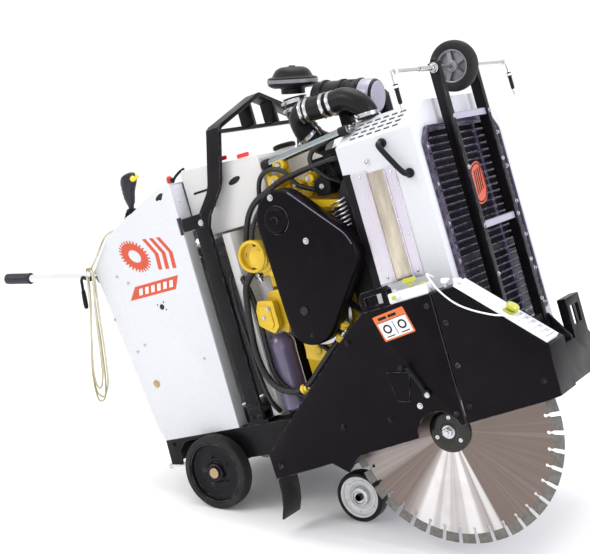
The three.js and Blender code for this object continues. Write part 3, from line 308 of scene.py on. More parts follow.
K["blade"] = blade_material()
K["pipe"] = material("pipe_metal", (0.30, 0.335, 0.35), 0.14, metal=1, vary=0.1, scale=14, bump=0.03, bscale=400)
K["bowl"] = material("reservoir_violet", (0.115, 0.095, 0.165), 0.2, coat=0.35, vary=0.12, scale=6, bump=0.03, bscale=200)

# ------------------------------------------------------------------ shapes, in machine millimetres


def ring(cx, cz, r, n=24, a0=0.0, a1=360.0):
    full = a1 - a0 >= 360
    cnt = n if full else n + 1
    return [(cx + r * math.cos(math.radians(a0 + (a1 - a0) * i / n)), cz + r * math.sin(math.radians(a0 + (a1 - a0) * i / n))) for i in range(cnt)]


def rounded(pts, r, n=5):
    """The outline with each corner rounded; r is one radius or one per corner."""
    out = []
    m = len(pts)
    for i, p in enumerate(pts):
        rr = r[i] if isinstance(r, (list, tuple)) else r
        a, b, c = Vector(pts[i - 1]), Vector(p), Vector(pts[(i + 1) % m])
        u, v = (a - b), (c - b)
        lu, lv = u.length, v.length
        if rr <= 0 or lu < 1e-6 or lv < 1e-6:
            out.append(tuple(b)); continue
        u.normalize(); v.normalize()
        ang = math.acos(max(-1, min(1, u.dot(v))))
        if ang > math.radians(177):
            out.append(tuple(b)); continue
        d = min(rr / math.tan(ang / 2), lu * 0.48, lv * 0.48)
        p0, p1 = b + u * d, b + v * d
        for k in range(n + 1):
            t = k / n
            q = p0 * (1 - t) ** 2 + b * 2 * t * (1 - t) + p1 * t * t
            out.append(tuple(q))
    return out


def smooth_path(pts, n=8, closed=False):
    """Catmull-Rom through the points, n steps to a span."""
    P = [Vector(p) for p in pts]
    m = len(P)
    out = []
    spans = m if closed else m - 1
    for i in range(spans):
        p0 = P[(i - 1) % m] if (closed or i > 0) else P[0] * 2 - P[1]
        p1, p2 = P[i], P[(i + 1) % m]
        p3 = P[(i + 2) % m] if (closed or i + 2 < m) else P[-1] * 2 - P[-2]
        # centripetal knots
        t0 = 0.0
        t1 = t0 + max(1e-6, (p1 - p0).length) ** 0.5
        t2 = t1 + max(1e-6, (p2 - p1).length) ** 0.5
        t3 = t2 + max(1e-6, (p3 - p2).length) ** 0.5
        for k in range(n):
            t = t1 + (t2 - t1) * k / n
            a1 = p0 * ((t1 - t) / (t1 - t0)) + p1 * ((t - t0) / (t1 - t0))
            a2 = p1 * ((t2 - t) / (t2 - t1)) + p2 * ((t - t1) / (t2 - t1))
            a3 = p2 * ((t3 - t) / (t3 - t2)) + p3 * ((t - t2) / (t3 - t2))
            b1 = a1 * ((t2 - t) / (t2 - t0)) + a2 * ((t - t0) / (t2 - t0))
            b2 = a2 * ((t3 - t) / (t3 - t1)) + a3 * ((t - t1) / (t3 - t1))
            out.append(b1 * ((t2 - t) / (t2 - t1)) + b2 * ((t - t1) / (t2 - t1)))
    if not closed:
        out.append(P[-1])
    return out


class Shape:
    def __init__(s):
        s.v, s.f, s.m, s.uv = [], [], [], {}

    def add(s, verts, faces, mat=0):
        o = len(s.v)
        s.v += [tuple(p) for p in verts]
        s.f += [tuple(i + o for i in f) for f in faces]
        s.m += [mat] * len(faces)
        return s

    def loft(s, loops, mat=0, cap=True, closed=False):
        n = len(loops[0])
        v = [p for lp in loops for p in lp]
        f = []
        m = len(loops)
        for i in range(m if closed else m - 1):
            a, b = i * n, ((i + 1) % m) * n
            for j in range(n):
                k = (j + 1) % n
                f.append((a + j, a + k, b + k, b + j))
        if cap and not closed:
            f.append(tuple(range(n - 1, -1, -1)))
            f.append(tuple((m - 1) * n + j for j in range(n)))
        return s.add(v, f, mat)

    def box(s, x0, x1, y0, y1, z0, z1, mat=0):
        c = [(x, y, z) for x in (x0, x1) for y in (y0, y1) for z in (z0, z1)]
        return s.add(c, [(0, 1, 3, 2), (4, 6, 7, 5), (0, 4, 5, 1), (2, 3, 7, 6), (0, 2, 6, 4), (1, 5, 7, 3)], mat)

    def beam(s, p, q, w, h, mat=0, side=(0, 1, 0)):
        """A rectangular bar from p to q, w across the side direction and h across the other."""
        p, q = Vector(p), Vector(q)
        d = (q - p).normalized()
        a = Vector(side); a = (a - d * a.dot(d)).normalized()
        b = d.cross(a)
        loops = [[c + a * (w / 2 * i) + b * (h / 2 * j) for i, j in ((-1, -1), (1, -1), (1, 1), (-1, 1))] for c in (p, q)]
        return s.loft(loops, mat)

    def lathe(s, p, axis, prof, segs=64, mat=0):
        """prof is [(radius, distance along the axis)], and may have a third value, the material."""
        p, d = Vector(p), Vector(axis).normalized()
        a = d.orthogonal().normalized(); b = d.cross(a)
        closed = len(prof) > 2 and abs(prof[0][0] - prof[-1][0]) < 1e-6 and abs(prof[0][1] - prof[-1][1]) < 1e-6 and prof[0][0] > 1e-6
        pts = prof[:-1] if closed else prof
        idx, v = [], []
        for q in pts:
            if q[0] < 1e-6:
                idx.append([len(v)]); v.append(p + d * q[1])
            else:
                idx.append(list(range(len(v), len(v) + segs)))
                for i in range(segs):
                    t = 2 * math.pi * i / segs
                    v.append(p + d * q[1] + (a * math.cos(t) + b * math.sin(t)) * q[0])
        o = len(s.v)
        s.v += [tuple(x) for x in v]
        n = len(pts)
        for i in range(n if closed else n - 1):
            A, B = idx[i], idx[(i + 1) % n]
            mm = pts[i][2] if len(pts[i]) > 2 else mat
            for j in range(segs):
                k = (j + 1) % segs
                if len(A) == 1 and len(B) == 1:
                    break
                if len(A) == 1:
                    f = (A[0], B[k], B[j])
                elif len(B) == 1:
                    f = (A[j], A[k], B[0])
                else:
                    f = (A[j], A[k], B[k], B[j])
                s.f.append(tuple(x + o for x in f)); s.m.append(mm)
        return s

    def latheY(s, x, z, prof, segs=64, mat=0):
        return s.lathe((x, 0, z), (0, 1, 0), prof, segs, mat)

    def cyl(s, p, q, r, r1=None, segs=24, mat=0, ch=0.0):
        p, q = Vector(p), Vector(q)
        h = (q - p).length
        r1 = r if r1 is None else r1
        prof = [(0, 0), (r - ch, 0), (r, ch), (r1, h - ch), (r1 - ch, h), (0, h)] if ch else [(0, 0), (r, 0), (r1, h), (0, h)]
        return s.lathe(p, q - p, prof, segs, mat)

    def plate(s, outline, lo, hi, holes=(), mat=0, plane="xz"):
        """A flat plate from an outline, thick from lo to hi across the plane."""
        to = {"xz": lambda a, b, h: (a, h, b), "xy": lambda a, b, h: (a, b, h), "yz": lambda a, b, h: (h, a, b)}[plane]
        loops = [list(outline)] + [list(h) for h in holes]
        flat = [q for lp in loops for q in lp]
        v = [to(a, b, lo) for a, b in flat] + [to(a, b, hi) for a, b in flat]
        n = len(flat)
        f = []
        if holes:
            tris = geometry.tessellate_polygon([[Vector((a, b, 0)) for a, b in lp] for lp in loops])
            f += [tuple(t) for t in tris] + [tuple(i + n for i in reversed(t)) for t in tris]
        else:
            f += [tuple(range(n)), tuple(range(2 * n - 1, n - 1, -1))]
        o = 0
        for lp in loops:
            k = len(lp)
            f += [(o + i, o + (i + 1) % k, n + o + (i + 1) % k, n + o + i) for i in range(k)]
            o += k
        return s.add(v, f, mat)

    def tube(s, path, r, sides=16, mat=0, cap=True, ribs=None):
        """A round tube along points; r is one radius or one per point."""
        P = [Vector(p) for p in path]
        n = len(P)
        T = [(P[min(i + 1, n - 1)] - P[max(i - 1, 0)]).normalized() for i in range(n)]
        a = T[0].orthogonal().normalized()
        loops = []
        for i in range(n):
            a = (a - T[i] * a.dot(T[i])).normalized()
            b = T[i].cross(a)
            rr = r[i] if isinstance(r, (list, tuple)) else r
            if ribs:
                rr *= 1 + ribs[0] * math.sin(2 * math.pi * i / ribs[1])
            loops.append([P[i] + (a * math.cos(2 * math.pi * j / sides) + b * math.sin(2 * math.pi * j / sides)) * rr for j in range(sides)])
        return s.loft(loops, mat, cap)

    def bolt(s, p, axis, af=13, h=6, washer=11, mat=0, hexed=True):
        """A hex bolt head on its washer, standing on p along the axis."""
        p, d = Vector(p), Vector(axis).normalized()
        if washer:
            s.lathe(p, d, [(0, 0), (washer, 0), (washer, 1.3), (washer - 0.5, 1.8), (0, 1.8)], 28, mat)
        r = af / math.sqrt(3)
        a = d.orthogonal().normalized(); b = d.cross(a)
        z0 = 1.7 if washer else 0
        if hexed:
            hx = lambda rr, hh: [p + d * hh + (a * math.cos(math.radians(60 * i + 11)) + b * math.sin(math.radians(60 * i + 11))) * rr for i in range(6)]
            s.loft([hx(r, z0), hx(r, z0 + h - 1), hx(r * 0.86, z0 + h)], mat)
        else:
            s.lathe(p, d, [(0, z0), (af * 0.55, z0), (af * 0.55, z0 + h * 0.5), (af * 0.42, z0 + h * 0.85), (0, z0 + h)], 24, mat)
        return s


def make(name, shape, mats, body, replaces=(), bevel=0.0, seg=2, angle=32, sharp=33, weld=1e-6, recalc=True):
    me = bpy.data.meshes.new(name)
    me.from_pydata([tuple(c * 0.001 for c in p) for p in shape.v], [], shape.f)
    mats = mats if isinstance(mats, (list, tuple)) else [mats]
    for m in mats:
        me.materials.append(K[m] if isinstance(m, str) else m)
    me.polygons.foreach_set("material_index", shape.m)
    bm = bmesh.new()
    bm.from_mesh(me)
    bmesh.ops.remove_doubles(bm, verts=bm.verts, dist=weld)
    bmesh.ops.dissolve_degenerate(bm, edges=bm.edges, dist=1e-7)
    if recalc:
        bmesh.ops.recalc_face_normals(bm, faces=bm.faces)
    bm.to_mesh(me)
    bm.free()
    me.shade_smooth()
    ob = bpy.data.objects.new(name, me)
    bpy.context.scene.collection.objects.link(ob)
    ob.matrix_world = MR
    if bevel > 0:
        bv = ob.modifiers.new("edges", "BEVEL")
        bv.width = bevel * 0.001; bv.segments = seg; bv.limit_method = "ANGLE"; bv.angle_limit = math.radians(angle)
        bv.harden_normals = True; bv.miter_outer = "MITER_ARC"; bv.use_clamp_overlap = True
    else:
        me.set_sharp_from_angle(angle=math.radians(sharp))
    if replaces:
        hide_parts(*([replaces] if isinstance(replaces, str) else replaces))
    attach(ob, body)
    return ob


def recentre(ob):
    """Moves the object's own origin to the middle of its mesh, so that radial finishes turn about it."""
    co = np.array([v.co for v in ob.data.vertices])
    c = Vector((co.min(0) + co.max(0)) / 2)
    ob.data.transform(Matrix.Translation(-c))
    ob.matrix_world = ob.matrix_world @ Matrix.Translation(c)
    return ob


def dress(node, mat, bevel=1.2, angle=30, seg=2, dissolve=True):
    """A CAD node that keeps its shape: its own material and eased edges."""
    ob = NODES[node]
    ob.data.materials.clear()
    ob.data.materials.append(K[mat])
    w = ob.modifiers.new("weld", "WELD"); w.merge_threshold = 2e-6
    if dissolve:
        d = ob.modifiers.new("flat", "DECIMATE"); d.decimate_type = "DISSOLVE"; d.angle_limit = math.radians(0.7)
    if bevel > 0:
        bv = ob.modifiers.new("edges", "BEVEL")
        bv.width = bevel * 0.001; bv.segments = seg; bv.limit_method = "ANGLE"; bv.angle_limit = math.radians(angle)
        bv.harden_normals = True; bv.use_clamp_overlap = True
    ob.data.shade_smooth()
    return ob


# The parts of the machine follow.
# ------------------------------------------------------------------ pieces that keep their CAD solid
for _node, _mat, _bev in (
    ("base_frame", "frame", 1.6), ("front_bumper", "frame", 1.8), ("rear_axle", "steel", 0.8), ("front_carriage", "frame", 1.6),
    ("lift_cylinder", "frame", 1.4), ("lift_rod", "chrome", 0.5), ("splash_flap", "rubber", 1.2), ("lift_bail", "frame", 2.0),
    ("console_side_right", "white", 1.0), ("console_side_left", "white", 1.0), ("console_cover", "white", 2.5),
    ("engine_block", "yellow", 3.5), ("cylinder_head", "yellow", 3.0), ("muffler", "frame", 4.0), ("hydraulic_tank", "tank", 5.0),
    ("accessory_belt", "rubber", 0.8), ("blade_belt", "rubber", 0.8), ("radiator_housing", "white", 1.6), ("radiator_core", "fins", 0.0),
    ("blade_guard", "guard", 1.6), ("guard_front", "guard", 1.6), ("blade_shaft", "steel", 0.8), ("shaft_carrier", "frame", 1.5),
    ("pointer_frame", "frame", 1.6), ("fuel_tank", "tank", 9.0),
):
    dress(_node, _mat, _bev, seg=3 if _bev > 2.2 else 2)

# ------------------------------------------------------------------ wheels


def rear_wheel(s, name, node, body):
    sh = Shape()
    x, z = REAR_AXLE
    Y = lambda prof: [(q[0], s * q[1]) + tuple(q[2:]) for q in prof]
    # tyre, with a shallow centre groove and two shoulder grooves
    sh.latheY(x, z, Y([(99, 303), (113, 303.5), (118.5, 305.5), (121.2, 309), (121.8, 314), (119.9, 315), (119.9, 317), (122, 318), (122, 325), (120.2, 326), (120.2, 328), (122, 329),
                       (122, 336), (119.9, 337), (119.9, 339), (121.8, 340), (121, 345), (118, 349), (113, 350.6), (108, 349.6), (104, 350.6), (100.5, 350), (99, 346), (99, 303)]), 96, 0)
    # pressed steel disc
    sh.latheY(x, z, Y([(99.5, 304), (99.5, 346), (97.5, 348.5), (95, 347.5), (93.2, 343), (91, 335.5), (86, 333.2), (70, 332), (58, 333.5), (50, 335.5), (38, 336), (34, 334), (32, 331.5), (13.2, 331), (13.2, 322), (60, 322), (84, 318), (92, 304), (99.5, 304)]), 96, 1)
    # hub in the frame black, with a bronze cap
    sh.latheY(x, z, Y([(13.2, 330), (30, 331), (30, 343), (28.5, 345.5), (24.5, 346.5), (22, 345), (13.2, 344.5), (13.2, 330)]), 48, 2)
    sh.latheY(x, z, Y([(0, 344), (12.5, 344), (17, 346.5), (17, 351), (15, 352.6), (8, 353), (0, 352.5)]), 40, 3)
    for i in range(5):
        a = math.radians(72 * i + 20)
        sh.bolt((x + 48 * math.cos(a), s * 335.5, z + 48 * math.sin(a)), (0, s, 0), 9, 5, 8, 4)
    ob = make(name, sh, ["tyre", "frame", "frame", "amber", "frame"], body, node)
    return ob


rear_wheel(-1, "wheel_rear_right", "rear_wheel_right", "rear_drive")
rear_wheel(1, "wheel_rear_left", "rear_wheel_left", "rear_drive")


def front_wheel(s, name, node):
    sh = Shape()
    x, z = FRONT_AXLE
    Y = lambda prof: [(q[0], s * q[1]) + tuple(q[2:]) for q in prof]
    sh.latheY(x, z, Y([(66.5, 205.5), (75, 205.5), (79, 208), (80, 213), (80, 243), (79, 248), (75, 250.8), (69, 251), (66.5, 249.5), (66.5, 205.5)]), 72, 0)
    sh.latheY(x, z, Y([(66.6, 206), (66.6, 248), (65, 250), (62.5, 249.6), (60.5, 246), (59.5, 237), (56, 234), (50, 233), (48.5, 236.5), (45, 237.5), (41.5, 236.5), (40, 232), (34, 230.5), (31, 231.5), (31, 222), (58, 216), (60, 206), (66.6, 206)]), 72, 1)
    sh.latheY(x, z, Y([(12.2, 215), (31, 216), (31, 247), (29.5, 249.5), (26, 250.6), (21, 250.6), (19, 248), (12.2, 247.5), (12.2, 215)]), 48, 2)
    sh.latheY(x, z, Y([(0, 246), (11.3, 246), (11.3, 254.5), (9.8, 256), (0, 256)]), 32, 3)
    for i in range(6):
        a = math.radians(60 * i + 10)
        sh.latheY(x + 53 * math.cos(a), z + 53 * math.sin(a), Y([(0, 232), (3.4, 232), (3.4, 235), (2.4, 236), (0, 236)]), 16, 2)
    make(name, sh, ["rubber", "wheelwhite", "silver", "frame"], name.replace("wheel_front", "front_wheel"), node)


front_wheel(-1, "wheel_front_right", "front_wheel_right")
front_wheel(1, "wheel_front_left", "front_wheel_left")

# ------------------------------------------------------------------ blade


def saw_blade():
    x, y, z, r, n = BLADE["x"], BLADE["y"], BLADE["z"], BLADE["r"], BLADE["n"]
    step = 360 / n
    outline = []
    core = 302
    for i in range(n):
        c = i * step
        # keyhole gullet centred on c
        for da, rr in ((-1.05, core), (-0.62, core - 4), (-0.55, 292), (-1.0, 289), (-1.05, 286), (-0.6, 283.4), (0, 282.6), (0.6, 283.4), (1.05, 286), (1.0, 289), (0.55, 292), (0.62, core - 4), (1.05, core)):
            a = math.radians(c + da)
            outline.append((x + rr * math.cos(a), z + rr * math.sin(a)))
        for k in range(1, 4):
            a = math.radians(c + 1.05 + (step - 2.1) * k / 4)
            outline.append((x + core * math.cos(a), z + core * math.sin(a)))
    sh = Shape()
    pins = [ring(x + 44 * math.cos(math.radians(a)), z + 44 * math.sin(math.radians(a)), 6.5, 16) for a in (40, 160, 280)]
    sh.plate(outline, y - 1.75, y + 1.75, [ring(x, z, 13, 40)] + pins, 0)
    ob = make("blade_core", sh, "blade", "blade_drive", "blade", bevel=0.25, seg=1, angle=60)
    recentre(ob)
    seg = Shape()
    for i in range(n):
        a0, a1 = i * step + 1.15, (i + 1) * step - 1.15
        o = [(x + r * math.cos(math.radians(a0 + (a1 - a0) * k / 4)), z + r * math.sin(math.radians(a0 + (a1 - a0) * k / 4))) for k in range(5)]
        o += [(x + 301.2 * math.cos(math.radians(a1 + (a0 - a1) * k / 4)), z + 301.2 * math.sin(math.radians(a1 + (a0 - a1) * k / 4))) for k in range(5)]
        seg.plate(o, y - 2.3, y + 2.3)
    make("blade_segments", seg, "segment", "blade_drive", (), bevel=0.5, seg=2, angle=50)


saw_blade()

fl = Shape()
bx, by, bz = BLADE["x"], BLADE["y"], BLADE["z"]
fl.latheY(bx, bz, [(13, by - 2.2), (61, by - 2.2), (62, by - 3.2), (62, by - 7.4), (61, by - 8.6), (56, by - 10.4), (53, by - 12.6), (50, by - 13.4), (30, by - 14.6), (28, by - 14.0), (26, by - 14.8), (13, by - 15), (13, by - 2.2)], 96)
make("flange_outer", fl, "flangeblk", "blade_drive", "outer_flange")
fb = Shape()
for a in (75, 195, 315):
    c = (bx + 41 * math.cos(math.radians(a)), by - 13.7, bz + 41 * math.sin(math.radians(a)))
    fb.lathe(c, (0, -1, 0), [(0, -1), (6.4, -1), (6.4, 0.5), (5.6, 1.1), (3.2, 1.1), (2.6, 0.3), (0, 0.3)], 28)
fb.lathe((bx, by - 15, bz), (0, -1, 0), [(0, -0.5), (20, -0.5), (20, 2.2), (18.8, 3.4), (0, 3.4)], 48)
hexo = lambda rr, hh: [(bx + rr * math.cos(math.radians(60 * i + 18)), by - 15 - hh, bz + rr * math.sin(math.radians(60 * i + 18))) for i in range(6)]
fb.loft([hexo(15.5, 3.2), hexo(15.5, 12.2), hexo(13.2, 14.4)])
fb.lathe((bx, by - 15, bz), (0, -1, 0), [(0, 14), (8, 14), (8, 17.5), (7, 18.6), (0, 18.6)], 28)
make("flange_bolt", fb, "zinc", "blade_drive", "arbor_bolt", bevel=0.5)

# ------------------------------------------------------------------ belts' pulleys


def pulley(c, name, node, body, prof, cap=True):
    sh = Shape()
    sh.latheY(*c, prof, 64)
    if cap:
        sh.bolt((c[0], prof[-1][1], c[1]), (0, -1, 0), 17, 7, 13)
    make(name, sh, "steel", body, node)


pulley(CRANK, "pulley_crank", "crank_pulley", "crank_pulley", [(0, -237), (28, -237), (28, -255), (88, -255), (88, -258), (80, -262), (80, -283), (88, -286), (88, -290), (86, -292), (60, -297), (50, -304), (45, -309), (45, -317), (51, -321), (52, -324), (50, -326), (30, -326), (28, -322), (0, -322)])
for c, nm in ((FAN, "fan"), (PUMP, "pump")):
    pulley(c, "pulley_" + nm, nm + "_pulley", nm + "_pulley", [(0, -262), (14, -262), (14, -299), (48, -301), (49, -303), (41, -308), (41, -318), (49, -322), (49, -325), (46, -326.5), (28, -322), (16, -322), (0, -322)], True)

# ------------------------------------------------------------------ belt guard: a deep pressed cover
BG = [(433, 838), (436, 862), (444, 886), (458, 907), (482, 924), (511, 932.5), (542, 932), (568, 921), (586, 905), (655, 832), (722, 762), (738, 733), (745, 700), (744, 676), (737, 655), (700, 611), (640, 537),
      (592, 479), (568, 463), (536, 454.5), (503, 456), (472, 470), (452, 497), (445, 530), (441, 610), (437, 720), (434, 790)]


def offset(pts, k):
    n = len(pts)
    area = sum(pts[i][0] * pts[(i + 1) % n][1] - pts[(i + 1) % n][0] * pts[i][1] for i in range(n))
    s = 1 if area > 0 else -1
    out = []
    for i, p in enumerate(pts):
        a, b = pts[i - 1], pts[(i + 1) % n]
        e1 = Vector((p[0] - a[0], p[1] - a[1])).normalized(); e2 = Vector((b[0] - p[0], b[1] - p[1])).normalized()
        n1 = Vector((-e1.y, e1.x)) * s; n2 = Vector((-e2.y, e2.x)) * s
        m = n1 + n2
        d = m.dot(n1) or 1
        out.append((p[0] + m.x * k / d, p[1] + m.y * k / d))
    return out


bgl = [(p.x, p.z) for p in smooth_path([(a, 0, b) for a, b in BG], 4, closed=True)]
lay = lambda k, y: [(a, y, b) for a, b in offset(bgl, k)]
sh = Shape()
sh.loft([lay(5, -344), lay(5, -300.5), lay(3, -300), lay(0.6, -300), lay(0, -301), lay(0, -338), lay(0.8, -342.5), lay(2.6, -346.5), lay(5.5, -349), lay(9, -350)])
sh.latheY(*PUMP, [(0, -349), (43, -349), (43, -351), (40, -356), (35, -360), (30, -361.6), (12, -362), (10, -360.5), (0, -360.5)], 72)
sh.cyl((452, -346, 878), (452, -330, 878), 9); sh.cyl((600, -346, 745), (600, -332, 745), 9)
make("belt_guard_cover", sh, "guard", "chassis", "belt_guard", bevel=0)
# painted highlight: a thin violet-grey tube along the cover's upper right edge stands in for the light on its rim;
# then the bolts
rim = Shape()
edge = [(575, 917), (600, 891), (655, 833), (700, 786), (722, 762), (733, 744), (741, 722)]
rim.tube(smooth_path([(a - 3, -349.4, b - 3) for a, b in edge], 6), 1.5, 8)
make("belt_guard_rim_highlight", rim, "bowl", "chassis", ())
bgb = Shape()
for x, z in ((509, 914), (590, 762)):
    bgb.bolt((x, -350, z), (0, -1, 0), 12, 5, 10)
make("belt_guard_bolts", bgb, "zinc", "chassis", (), bevel=0.4)
bgp = Shape()
bgp.lathe((517, -350, 562), (0, -1, 0), [(0, 0), (14, 0), (14, 2), (12, 4), (0, 4.6)], 36)
bgp.bolt((521, -350, 485), (0, -1, 0), 8, 4, 7)
make("belt_guard_plugs", bgp, "dark", "chassis", ())

# ------------------------------------------------------------------ air intake
sx, sy = STACK
UP = Vector((math.sin(PITCH), 0, math.cos(PITCH)))  # level with the floor, on the tipped machine
ALONG = Vector((math.cos(PITCH), 0, -math.sin(PITCH)))
PC = Vector((sx + 6, sy, 1240))
pc = Shape()
pc.lathe(PC, UP, [(0, -20), (37, -20), (38, -18), (38.4, -5), (42, -2), (62, -1), (68, 1), (75, 5), (79, 10), (79.6, 13), (79.6, 27), (78, 30.5), (73, 33), (66, 34.2), (64, 36.5), (60, 44), (55, 52.5), (47, 59), (36, 63.6), (18, 65.4), (0, 65.8)], 96)
for i in range(36):
    a = math.radians(10 * i)
    rad = ALONG * math.cos(a) + Vector((0, 1, 0)) * math.sin(a)
    tan = Vector((0, 1, 0)) * math.cos(a) - ALONG * math.sin(a)
    pc.beam(PC + rad * 60 + UP * 0.5, PC + rad * 77.5 + UP * 9, 2.2, 4, 0, tan)
make("precleaner_body", pc, "plastic", "chassis", "precleaner")
dome = Shape()
dome.lathe(PC, UP, [(79.6, 14.5), (81.2, 15.3), (81.2, 25), (79.6, 26), (78.5, 26), (78.5, 14.5), (79.6, 14.5)], 96)
make("precleaner_band", dome, "greyring", "chassis", ())
nut = Shape()
nut.lathe(PC + UP * 65.4, UP, [(0, 0), (11, 0), (11, 2), (9, 3.4), (0, 3.8)], 32)
make("precleaner_nut", nut, "plastic", "chassis", ())


def clamp(sh, p, axis, r, w=11, mat=0):
    """A worm-drive band round a hose."""
    p, d = Vector(p), Vector(axis).normalized()
    sh.lathe(p - d * (w / 2), d, [(r, 0), (r + 1.5, 0.2), (r + 1.1, w * 0.25), (r + 1.1, w * 0.75), (r + 1.5, w - 0.2), (r, w), (r, 0)], 64, mat)
    side = d.orthogonal().normalized()
    if side.y > 0:
        side = -side
    q = p + side * (r + 4)
    t = d.cross(side)
    sh.cyl(q - t * 11, q + t * 11, 4.6, None, 16, mat, 0.8)
    sh.cyl(q + t * 11, q + t * 15, 3.6, None, 12, mat, 0.6)


st = Shape()
spts = smooth_path([(sx + 1, sy, 1208), (sx, sy, 1160), (sx + 6, sy + 2, 1110), (sx + 30, sy + 10, 1060), (sx + 66, sy + 20, 1030)], 10)
st.tube(spts, [38 + (1.8 if (i // 2) % 2 and 8 < i < 30 else 0) for i in range(len(spts))], 56)
make("stack_hose", st, "rubber", "chassis", "stack_pipe", sharp=50)
cl = Shape()
clamp(cl, (sx + 1, sy, 1196), (0, 0, 1), 38.2, 13)
clamp(cl, (sx, sy, 1172), (0, 0, 1), 38.2, 12)

CA, CD = Vector((578, sy, 1179)), Vector((0.9692, 0, -0.2462))
can = Shape()
can.lathe(CA, CD, [(0, 0), (30, 0), (34, 1.5), (44, 2.5), (50, 6), (53.4, 11), (54, 14), (54, 206), (53, 213), (49, 219), (42, 221.6), (0, 222)], 96)
can.lathe(CA, CD, [(54.2, 150), (54.8, 150.5), (54.8, 158.5), (54.2, 159)], 80)
can.cyl((716, -52, 1140), (716, 120, 1140), 22, None, 40, 0, 2)
can.cyl((716, 118, 1146), (716, 118, 1014), 22, None, 40, 0, 2)
can.box(650, 686, -70, -40, 1008.8, 1122)
make("canister", can, "plastic", "chassis", "air_cleaner", bevel=0)
ce_ = Shape()
ce_.lathe(CA, CD, [(54.2, 172), (55.2, 173), (55.2, 203), (54.2, 210), (50, 217.5), (43, 222.4), (20, 223), (0, 223)], 96)
make("canister_end", ce_, "canister", "chassis", ())
cb = Shape()
for d0 in (38, 102, 164):
    cb.lathe(CA + CD * (d0 - 5), CD, [(53.6, 0), (58, 0), (58.4, 1), (58.4, 9), (58, 10), (53.6, 10), (53.6, 0)], 80)
for k in range(9):
    d0 = 112 + k * 4.6
    cb.lathe(CA + CD * d0, CD, [(53.8, 0), (55.4, 0.6), (55.4, 2), (53.8, 2.6), (53.8, 0)], 80)
cb.lathe(CA + CD * 1, CD * -1, [(0, 0), (26, 0), (26, 4), (22, 7), (10, 8), (0, 8)], 56)
make("canister_bands", cb, "frame", "chassis", (), bevel=0.5)

el = Shape()
ELBOW = [(566, -120, 1052), (556, -136, 1090), (562, -152, 1128), (594, -164, 1146), (646, -168, 1140), (698, -170, 1139), (745, -170, 1138), (778, -168, 1118), (795, -163, 1094), (799, -160, 1078), (799, -160, 1062)]
p1 = smooth_path(ELBOW, 10)
el.tube(p1, 33.5, 56)
el.tube(smooth_path([(606, -165, 1144.5), (646, -168, 1140), (686, -169.6, 1139)], 8), 36, 56)
make("intake_hose", el, "rubber", "chassis", "intake_elbow", sharp=50)
clamp(cl, (598, -164.4, 1145.6), (0.985, -0.08, -0.08), 34.6, 12)
clamp(cl, (618, -166, 1143.5), (0.99, -0.06, -0.1), 36.4, 12)
clamp(cl, (676, -169.4, 1139), (1, -0.02, -0.02), 36.4, 12)
clamp(cl, (700, -170, 1139), (1, -0.01, 0), 34.2, 12)
clamp(cl, (799, -160, 1072), (0, 0, 1), 34.2, 12)
clamp(cl, (560, -129, 1072), (-0.3, -0.4, 0.86), 34.6, 12)
make("hose_clamps", cl, "zinc", "chassis", ())

# ------------------------------------------------------------------ coolant pipe
cp = Shape()
cp.tube([(452, -250, 1017.2), (776, -250, 1042.5)], 12.4, 40)
cp.tube(smooth_path([(470, -250, 1018), (470, -215, 1018), (470, -178, 1015)], 4), 10, 28)
cp.tube(smooth_path([(764, -250, 1041.5), (769, -240, 1044.5), (769, -226, 1049), (768, -212, 1052)], 6), 11, 32)
make("pipe_coolant", cp, "pipe", "chassis", "coolant_pipe", sharp=45)
ce = Shape()
ce.lathe((444, -250, 1016.6), (1, 0, 0.078), [(0, 0), (10, 1), (15, 5), (17, 10), (17, 28), (15.5, 32), (12.4, 34), (0, 34)], 48)
ce.lathe((744, -250, 1040), (1, 0, 0.078), [(0, 0), (14.6, 0), (14.6, 26), (13, 28), (0, 28)], 40)
make("pipe_ends", ce, "rubber", "chassis", ())
# ------------------------------------------------------------------ radiator guard, side panel and handle
gr = Shape()
GO = rounded([(-266, 350), (266, 350), (266, 942), (226, 985), (-226, 985), (-266, 942)], [14, 14, 26, 30, 30, 26], 6)
GI = rounded([(-240, 368), (240, 368), (240, 934), (214, 966), (-214, 966), (-240, 934)], [8, 8, 18, 22, 22, 18], 6)
gr.plate(GO, 998.8, 1002.2, [GI], 0, "yz")
fr = lambda o, x: [(x, a, b) for a, b in o]
# rolled rim standing forward
gr.loft([fr(offset(GO, 1), 1002), fr(offset(GO, 0.2), 1005), fr(offset(GO, 1.5), 1007.6), fr(offset(GO, 5), 1008.6), fr(offset(GO, 9), 1007.6), fr(offset(GO, 11), 1005), fr(offset(GO, 11.5), 1002)], 0, cap=False)
n_slat = 27
for i in range(n_slat):
    z = 380 + i * 21.8
    half = 240 if z < 925 else 240 - (z - 925) * 0.62
    # pressed louvre: a tongue leaning out of the sheet
    prof = [(999.2, z - 4.6), (1001.4, z - 4.9), (1006.6, z - 1.6), (1007.8, z + 1.4), (1006.4, z + 2.1), (1004.4, z - 0.4), (1001.0, z - 2.4), (999.2, z - 2.6)]
    gr.loft([[(x, y, zz) for x, zz in prof] for y in (-half, half)])
for y in (-84, 84):
    gr.box(998.6, 1004.4, y - 7, y + 7, 358, 976)
for y in (-236, 236):
    gr.box(998.8, 1003, y - 5, y + 5, 366, 936)
make("radiator_guard", gr, "grille", "chassis", "grille", bevel=0.6, seg=2)
gb = Shape()
for y in (-250, 250):
    for z in (368, 480, 590, 700, 815, 925):
        gb.bolt((1002.4, y, z), (1, 0, 0), 9, 4, 8)
make("radiator_guard_bolts", gb, "zinc", "chassis", ())
dk = Shape()
dk.box(956.2, 957.6, -255, 255, 300, 975)
make("radiator_face", dk, "fins", "chassis", ())
dk = Shape()
dk.box(997.2, 998.5, -232, 232, 570, 596)
